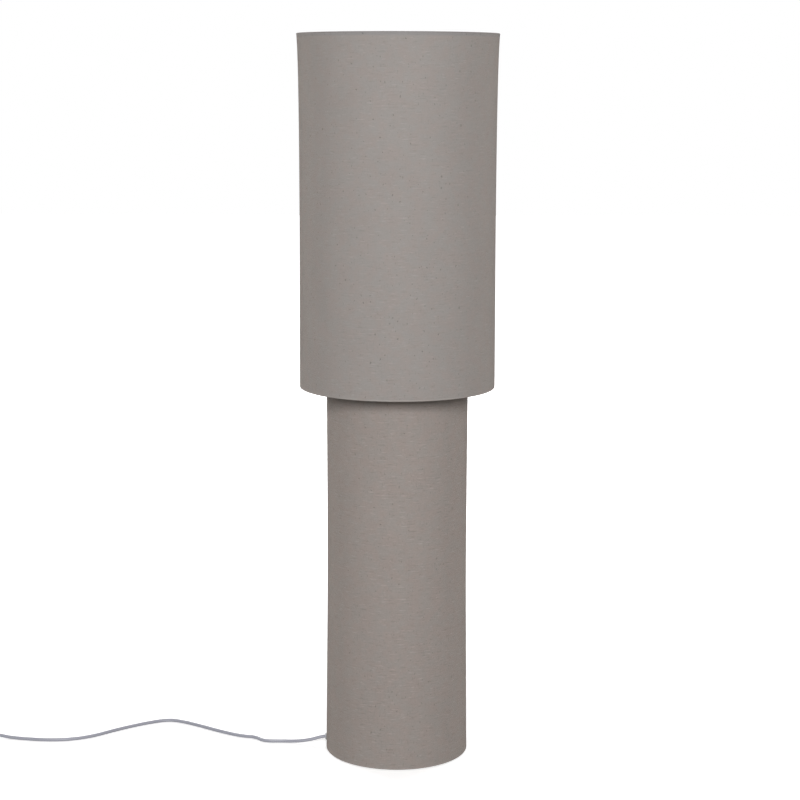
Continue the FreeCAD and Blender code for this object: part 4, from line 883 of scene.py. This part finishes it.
def make_cords():
    mains = cord_curve("mains_lead", MAINS_ROUTE, "root", "mains_cord")
    turns, end, way = coil_route()
    tail = end + Vector((0, COIL_STRAIGHT * way, 0))
    bend = (tail.x - 11.8, tail.y + 47.0, PLUG_HEIGHT)
    plug_tip = beyond(bend, PLUG_BEARING, 12.0)
    link = [switch_out, beyond(switch_out, SWITCH_BEARING, SLEEVE_STRAIGHT), (-903.6, 85.9, 5.6),
            (-913.7, 106.6, COIL_LEVEL)]
    rest = [beyond(tuple(tail), math.pi / 2, 12.0), (tail.x - 3.3, tail.y + 30.0, 9.2), bend, plug_tip]
    far = cord_curve("plug_lead", link + turns + rest, "root", "link_cord", "cord_coil", "plug_cord")
    drawn("inner_lead_tube", [(CORD, inner_line())], "cord_plastic", "root", "inner_lead")
    return mains, far, plug_tip


def inner_line():
    """The lead inside the lamp: along the base, up the pole."""
    side = rounded([(GLAND_TIP - 2.0, CORD_HEIGHT), (104, CORD_HEIGHT, 60), (91, 12.6, 60), (53, 12.6, 44),
                    (28, 29.4, 39), (0, 118, 90), (0, 804)], closed=False, steps=6)
    return [(radius * math.cos(EXIT_BEARING), radius * math.sin(EXIT_BEARING), height) for radius, height in side]


def make_gland():
    """Strain relief in the column's wall."""
    gland = lathe(rounded([(3.1, -9), (4.6, -9, 0.4), (4.6, 0), (6.6, 0, 0.3), (5.9, 2.2, 0.8), (3.1, 2.2, 0.3)]),
                  steps=40)
    way = Vector((math.cos(EXIT_BEARING), math.sin(EXIT_BEARING), 0))
    place = Matrix.Translation((way * (GLAND_TIP - 2.2) + Vector((0, 0, CORD_HEIGHT))) * MM)
    turn = Vector((0, 0, 1)).rotation_difference(way).to_matrix().to_4x4()
    return finished("gland", move(gland, place @ turn), "clear_plastic", "root", "cord_gland")


TIE_BEND = 3.9
TIE_BAND = 0.6


def make_tie():
    """Band round the turns at the coil's east side."""
    low, high = (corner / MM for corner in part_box("coil_tie"))
    shape = bmesh.new()
    bmesh.ops.create_cube(shape, size=1.0)
    bmesh.ops.delete(shape, geom=[face for face in shape.faces if abs(face.normal.y) > 0.9], context="FACES_ONLY")
    size = high - low
    bmesh.ops.scale(shape, vec=(size.x * MM, size.y * MM, size.z * MM), verts=shape.verts)
    move(shape, Matrix.Translation((low + high) / 2 * MM))
    corners = [edge for edge in shape.edges if abs((edge.verts[0].co - edge.verts[1].co).normalized().y) > 0.9]
    bmesh.ops.bevel(shape, geom=corners, offset=TIE_BEND * MM, segments=7, profile=0.5, affect="EDGES", material=-1)
    bmesh.ops.recalc_face_normals(shape, faces=shape.faces)
    made = finished("tie_band", shape, "tie_plastic", "root", "coil_tie")
    thicken(made, TIE_BAND)
    return made


# ---- foot switch --------------------------------------------------------------------------------------------------

def make_switch():
    """Round foot switch with a domed button; the cord passes through a sleeve on either side."""
    place = Matrix.Translation(Vector((SWITCH_EAST, SWITCH_NORTH, 0)) * MM) @ Matrix.Rotation(SWITCH_BEARING, 4, "Z")
    radius = SWITCH_RADIUS
    base = lathe(rounded([(0, 0), (radius, 0, 1.0), (radius, 2.0, 0.2), (28.8, 2.0), (28.8, 4.0), (27, 4.0), (27, 2.0),
                          (0, 2.0)], closed=False), closed=False)
    top = switch_high.z
    side = interpolate_bezier(Vector((radius, 9)), Vector((radius, 15.5)), Vector((27.5, top - 0.4)),
                              Vector((21.5, top)), 14)
    shell = [Vector((radius - 2, 2.2)), Vector((radius, 2.2))] + list(side) + rounded(
        [(20, top), (15.3, top, 0.7), (15.3, top - 2), (20, top - 2)], closed=False)
    shell += [spot - Vector((1.9, 1.9)) for spot in list(side)[::-1]][1:-1]
    pieces = [
        finished("switch_floor", move(base, place), "switch_plastic", "root", "switch_base"),
        finished("switch_shell", move(lathe(shell), place), "switch_plastic", "root", "switch_cover"),
    ]
    low, high = (corner.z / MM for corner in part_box("switch_button"))
    crown = interpolate_bezier(Vector((15, high - 3)), Vector((15, high - 1.2)), Vector((13.5, high - 0.7)),
                               Vector((11, high - 0.45)), 8)
    over = interpolate_bezier(Vector((11, high - 0.45)), Vector((7.5, high - 0.1)), Vector((4, high)),
                              Vector((0, high)), 8)
    button = [Vector((0, high - 2.1)), Vector((11, high - 3)), Vector((13, high - 4.5)), Vector((13, low)),
              Vector((16.6, low)), Vector((16.6, low + 2)), Vector((15, low + 2)), *crown, *over[1:]]
    cap = lathe(button, closed=False)
    for offset in (-5.4, -1.8, 1.8, 5.4):
        rib = bmesh.new()
        length = 2 * math.sqrt(9.5 ** 2 - offset ** 2)
        bmesh.ops.create_cube(rib, size=1.0)
        bmesh.ops.scale(rib, vec=(length * MM, 0.9 * MM, 1.0 * MM), verts=rib.verts)
        bmesh.ops.bevel(rib, geom=rib.edges[:], offset=0.25 * MM, segments=2, profile=0.5, affect="EDGES",
                        material=-1)
        cap = joined(cap, move(rib, Matrix.Translation(Vector((0, offset, high - 0.55)) * MM)))
    pieces.append(finished("switch_cap", move(cap, place), "switch_plastic", "switch_button", "switch_button"))
    pieces.append(make_spring(place))
    for name, way in (("east", -1), ("west", 1)):
        sleeve = lathe(sleeve_section(radius), steps=40)
        turn = Matrix.Rotation(way * math.pi / 2, 4, "Y")
        spot = Matrix.Translation((0, 0, SLEEVE_HEIGHT * MM))
        nodes = ("switch_sleeves",) if way == 1 else ()
        pieces.append(finished(f"switch_sleeve_{name}", move(sleeve, place @ spot @ turn), "switch_plastic", "root",
                               *nodes))
    return pieces


def make_spring(place):
    """Round wire spring between the switch's floor and its button."""
    low, high = (corner.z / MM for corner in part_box("switch_spring"))
    turns, steps, wire = 4, 36, 0.45
    shape = bmesh.new()
    bmesh.ops.create_circle(shape, segments=10, radius=wire * MM)
    turn = Matrix.Translation(Vector((6.0, 0, low + wire)) * MM) @ Matrix.Rotation(math.pi / 2, 4, "X")
    move(shape, turn)
    climb = (high - low - 2 * wire) * MM / (turns * steps)
    bmesh.ops.spin(shape, geom=shape.verts[:] + shape.edges[:], cent=(0, 0, 0), axis=(0, 0, 1), dvec=(0, 0, climb),
                   angle=FULL_TURN * turns, steps=turns * steps)
    bmesh.ops.holes_fill(shape, edges=[edge for edge in shape.edges if edge.is_boundary], sides=10)
    bmesh.ops.recalc_face_normals(shape, faces=shape.faces)
    made = finished("switch_wire_spring", move(shape, place), "zinc_steel", "root", "switch_spring")
    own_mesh(made)
    return made


def sleeve_section(start):
    """A tapered cord sleeve with five grooves that let it bend."""
    outer = [(4.0, start - 4), (4.0, start + 0.1), (5.0, start + 0.1)]
    for number in range(5):
        near = start + 3.0 + number * 3.2
        wide = 5.0 - 1.1 * (near - start) / SLEEVE_LENGTH
        outer += [(wide, near), (wide - 0.7, near + 0.25), (wide - 0.75, near + 1.0), (wide - 0.1, near + 1.25)]
    tip = start + SLEEVE_LENGTH
    return [Vector(spot) for spot in outer + [(3.95, tip - 0.4), (3.7, tip), (3.1, tip), (3.1, start - 4)]]


# ---- plug ---------------------------------------------------------------------------------------------------------

PLUG_HALF_HEIGHT = 6.8
PLUG_EDGE = 3.4
PIN_SIDE = 9.3              # a pin's distance from the plug's middle


def make_plug(tip):
    """Flat two-pin plug with its sleeve."""
    place = Matrix.Translation(Vector(tip) * MM) @ Matrix.Rotation(PLUG_BEARING, 4, "Z")
    outline = rounded([(19, -5.0), (26, -6.5, 6), (44, -15.4, 14), (55, -17.6, 3), (57, -16.5, 1.5),
                       (57, 16.5, 1.5), (55, 17.6, 3), (44, 15.4, 14), (26, 6.5, 6), (19, 5.0)], steps=4)
    body = bmesh.new()
    rim = [body.verts.new(Vector((spot.x, spot.y, -PLUG_HALF_HEIGHT)) * MM) for spot in outline]
    face = body.faces.new(rim)
    raised = bmesh.ops.extrude_face_region(body, geom=[face])
    top = [item for item in raised["geom"] if isinstance(item, bmesh.types.BMVert)]
    bmesh.ops.translate(body, vec=(0, 0, 2 * PLUG_HALF_HEIGHT * MM), verts=top)
    bmesh.ops.recalc_face_normals(body, faces=body.faces)
    rims = [edge for edge in body.edges if abs(edge.verts[0].co.z - edge.verts[1].co.z) < 1e-6]
    bmesh.ops.bevel(body, geom=rims, offset=PLUG_EDGE * MM, segments=5, profile=0.5, affect="EDGES", material=-1,
                    clamp_overlap=True)
    bmesh.ops.remove_doubles(body, verts=body.verts, dist=2e-6)
    body = joined(body, move(lathe(sleeve_section(0.0), steps=40), Matrix.Rotation(math.pi / 2, 4, "Y")))
    made = [finished("plug_shell", move(body, place), "plug_plastic", "root", "plug_body", sharp=40.0)]
    pins = None
    for side in (-PIN_SIDE, PIN_SIDE):
        for radius, start, end in ((1.9, 57, 67), (2.0, 67, 76)):
            pin = lathe(rounded([(0, start), (radius, start, 0.2), (radius, end, 0.9), (0, end)], closed=False),
                        closed=False, steps=28)
            move(pin, Matrix.Translation((0, side * MM, 0)) @ Matrix.Rotation(math.pi / 2, 4, "Y"))
            pins = joined(pins, pin) if pins else pin
    made.append(finished("plug_pin_pair", move(pins, place), "nickel", "root", "plug_pins"))
    return made


# ---- the whole lamp -----------------------------------------------------------------------------------------------

def lay_floor():
    """Wide pale floor."""
    shape = bmesh.new()
    bmesh.ops.create_grid(shape, x_segments=1, y_segments=1, size=14.0)
    mesh = bpy.data.meshes.new("floor")
    shape.to_mesh(mesh)
    shape.free()
    pale = Finish("pale_floor", specular_ior_level=0.0, roughness=1.0, emission_strength=1.0)
    _, (east, north, _) = pale.place()
    away = pale.function("SQRT", east * east + north * north)
    glow = pale.ramp(away, 0.5, 4.0, 0.28, 0.95)
    mesh.materials.append(pale.paint(base_color=opaque(0.94, 0.94, 0.94), emission_color=pale.grey(glow)))
    floor = bpy.data.objects.new("floor", mesh)
    floor.visible_diffuse = False
    bpy.context.scene.collection.objects.link(floor)


def main():
    stand_camera()
    light_the_room()
    lay_floor()
    dress_solids()
    column, shade = make_walls()
    make_frames()
    make_base()
    make_lampholder()
    make_shade_ring()
    make_bulb()
    mains, far, plug_tip = make_cords()
    gland = make_gland()
    tie = make_tie()
    switch = make_switch()
    plug = make_plug(plug_tip)


main()
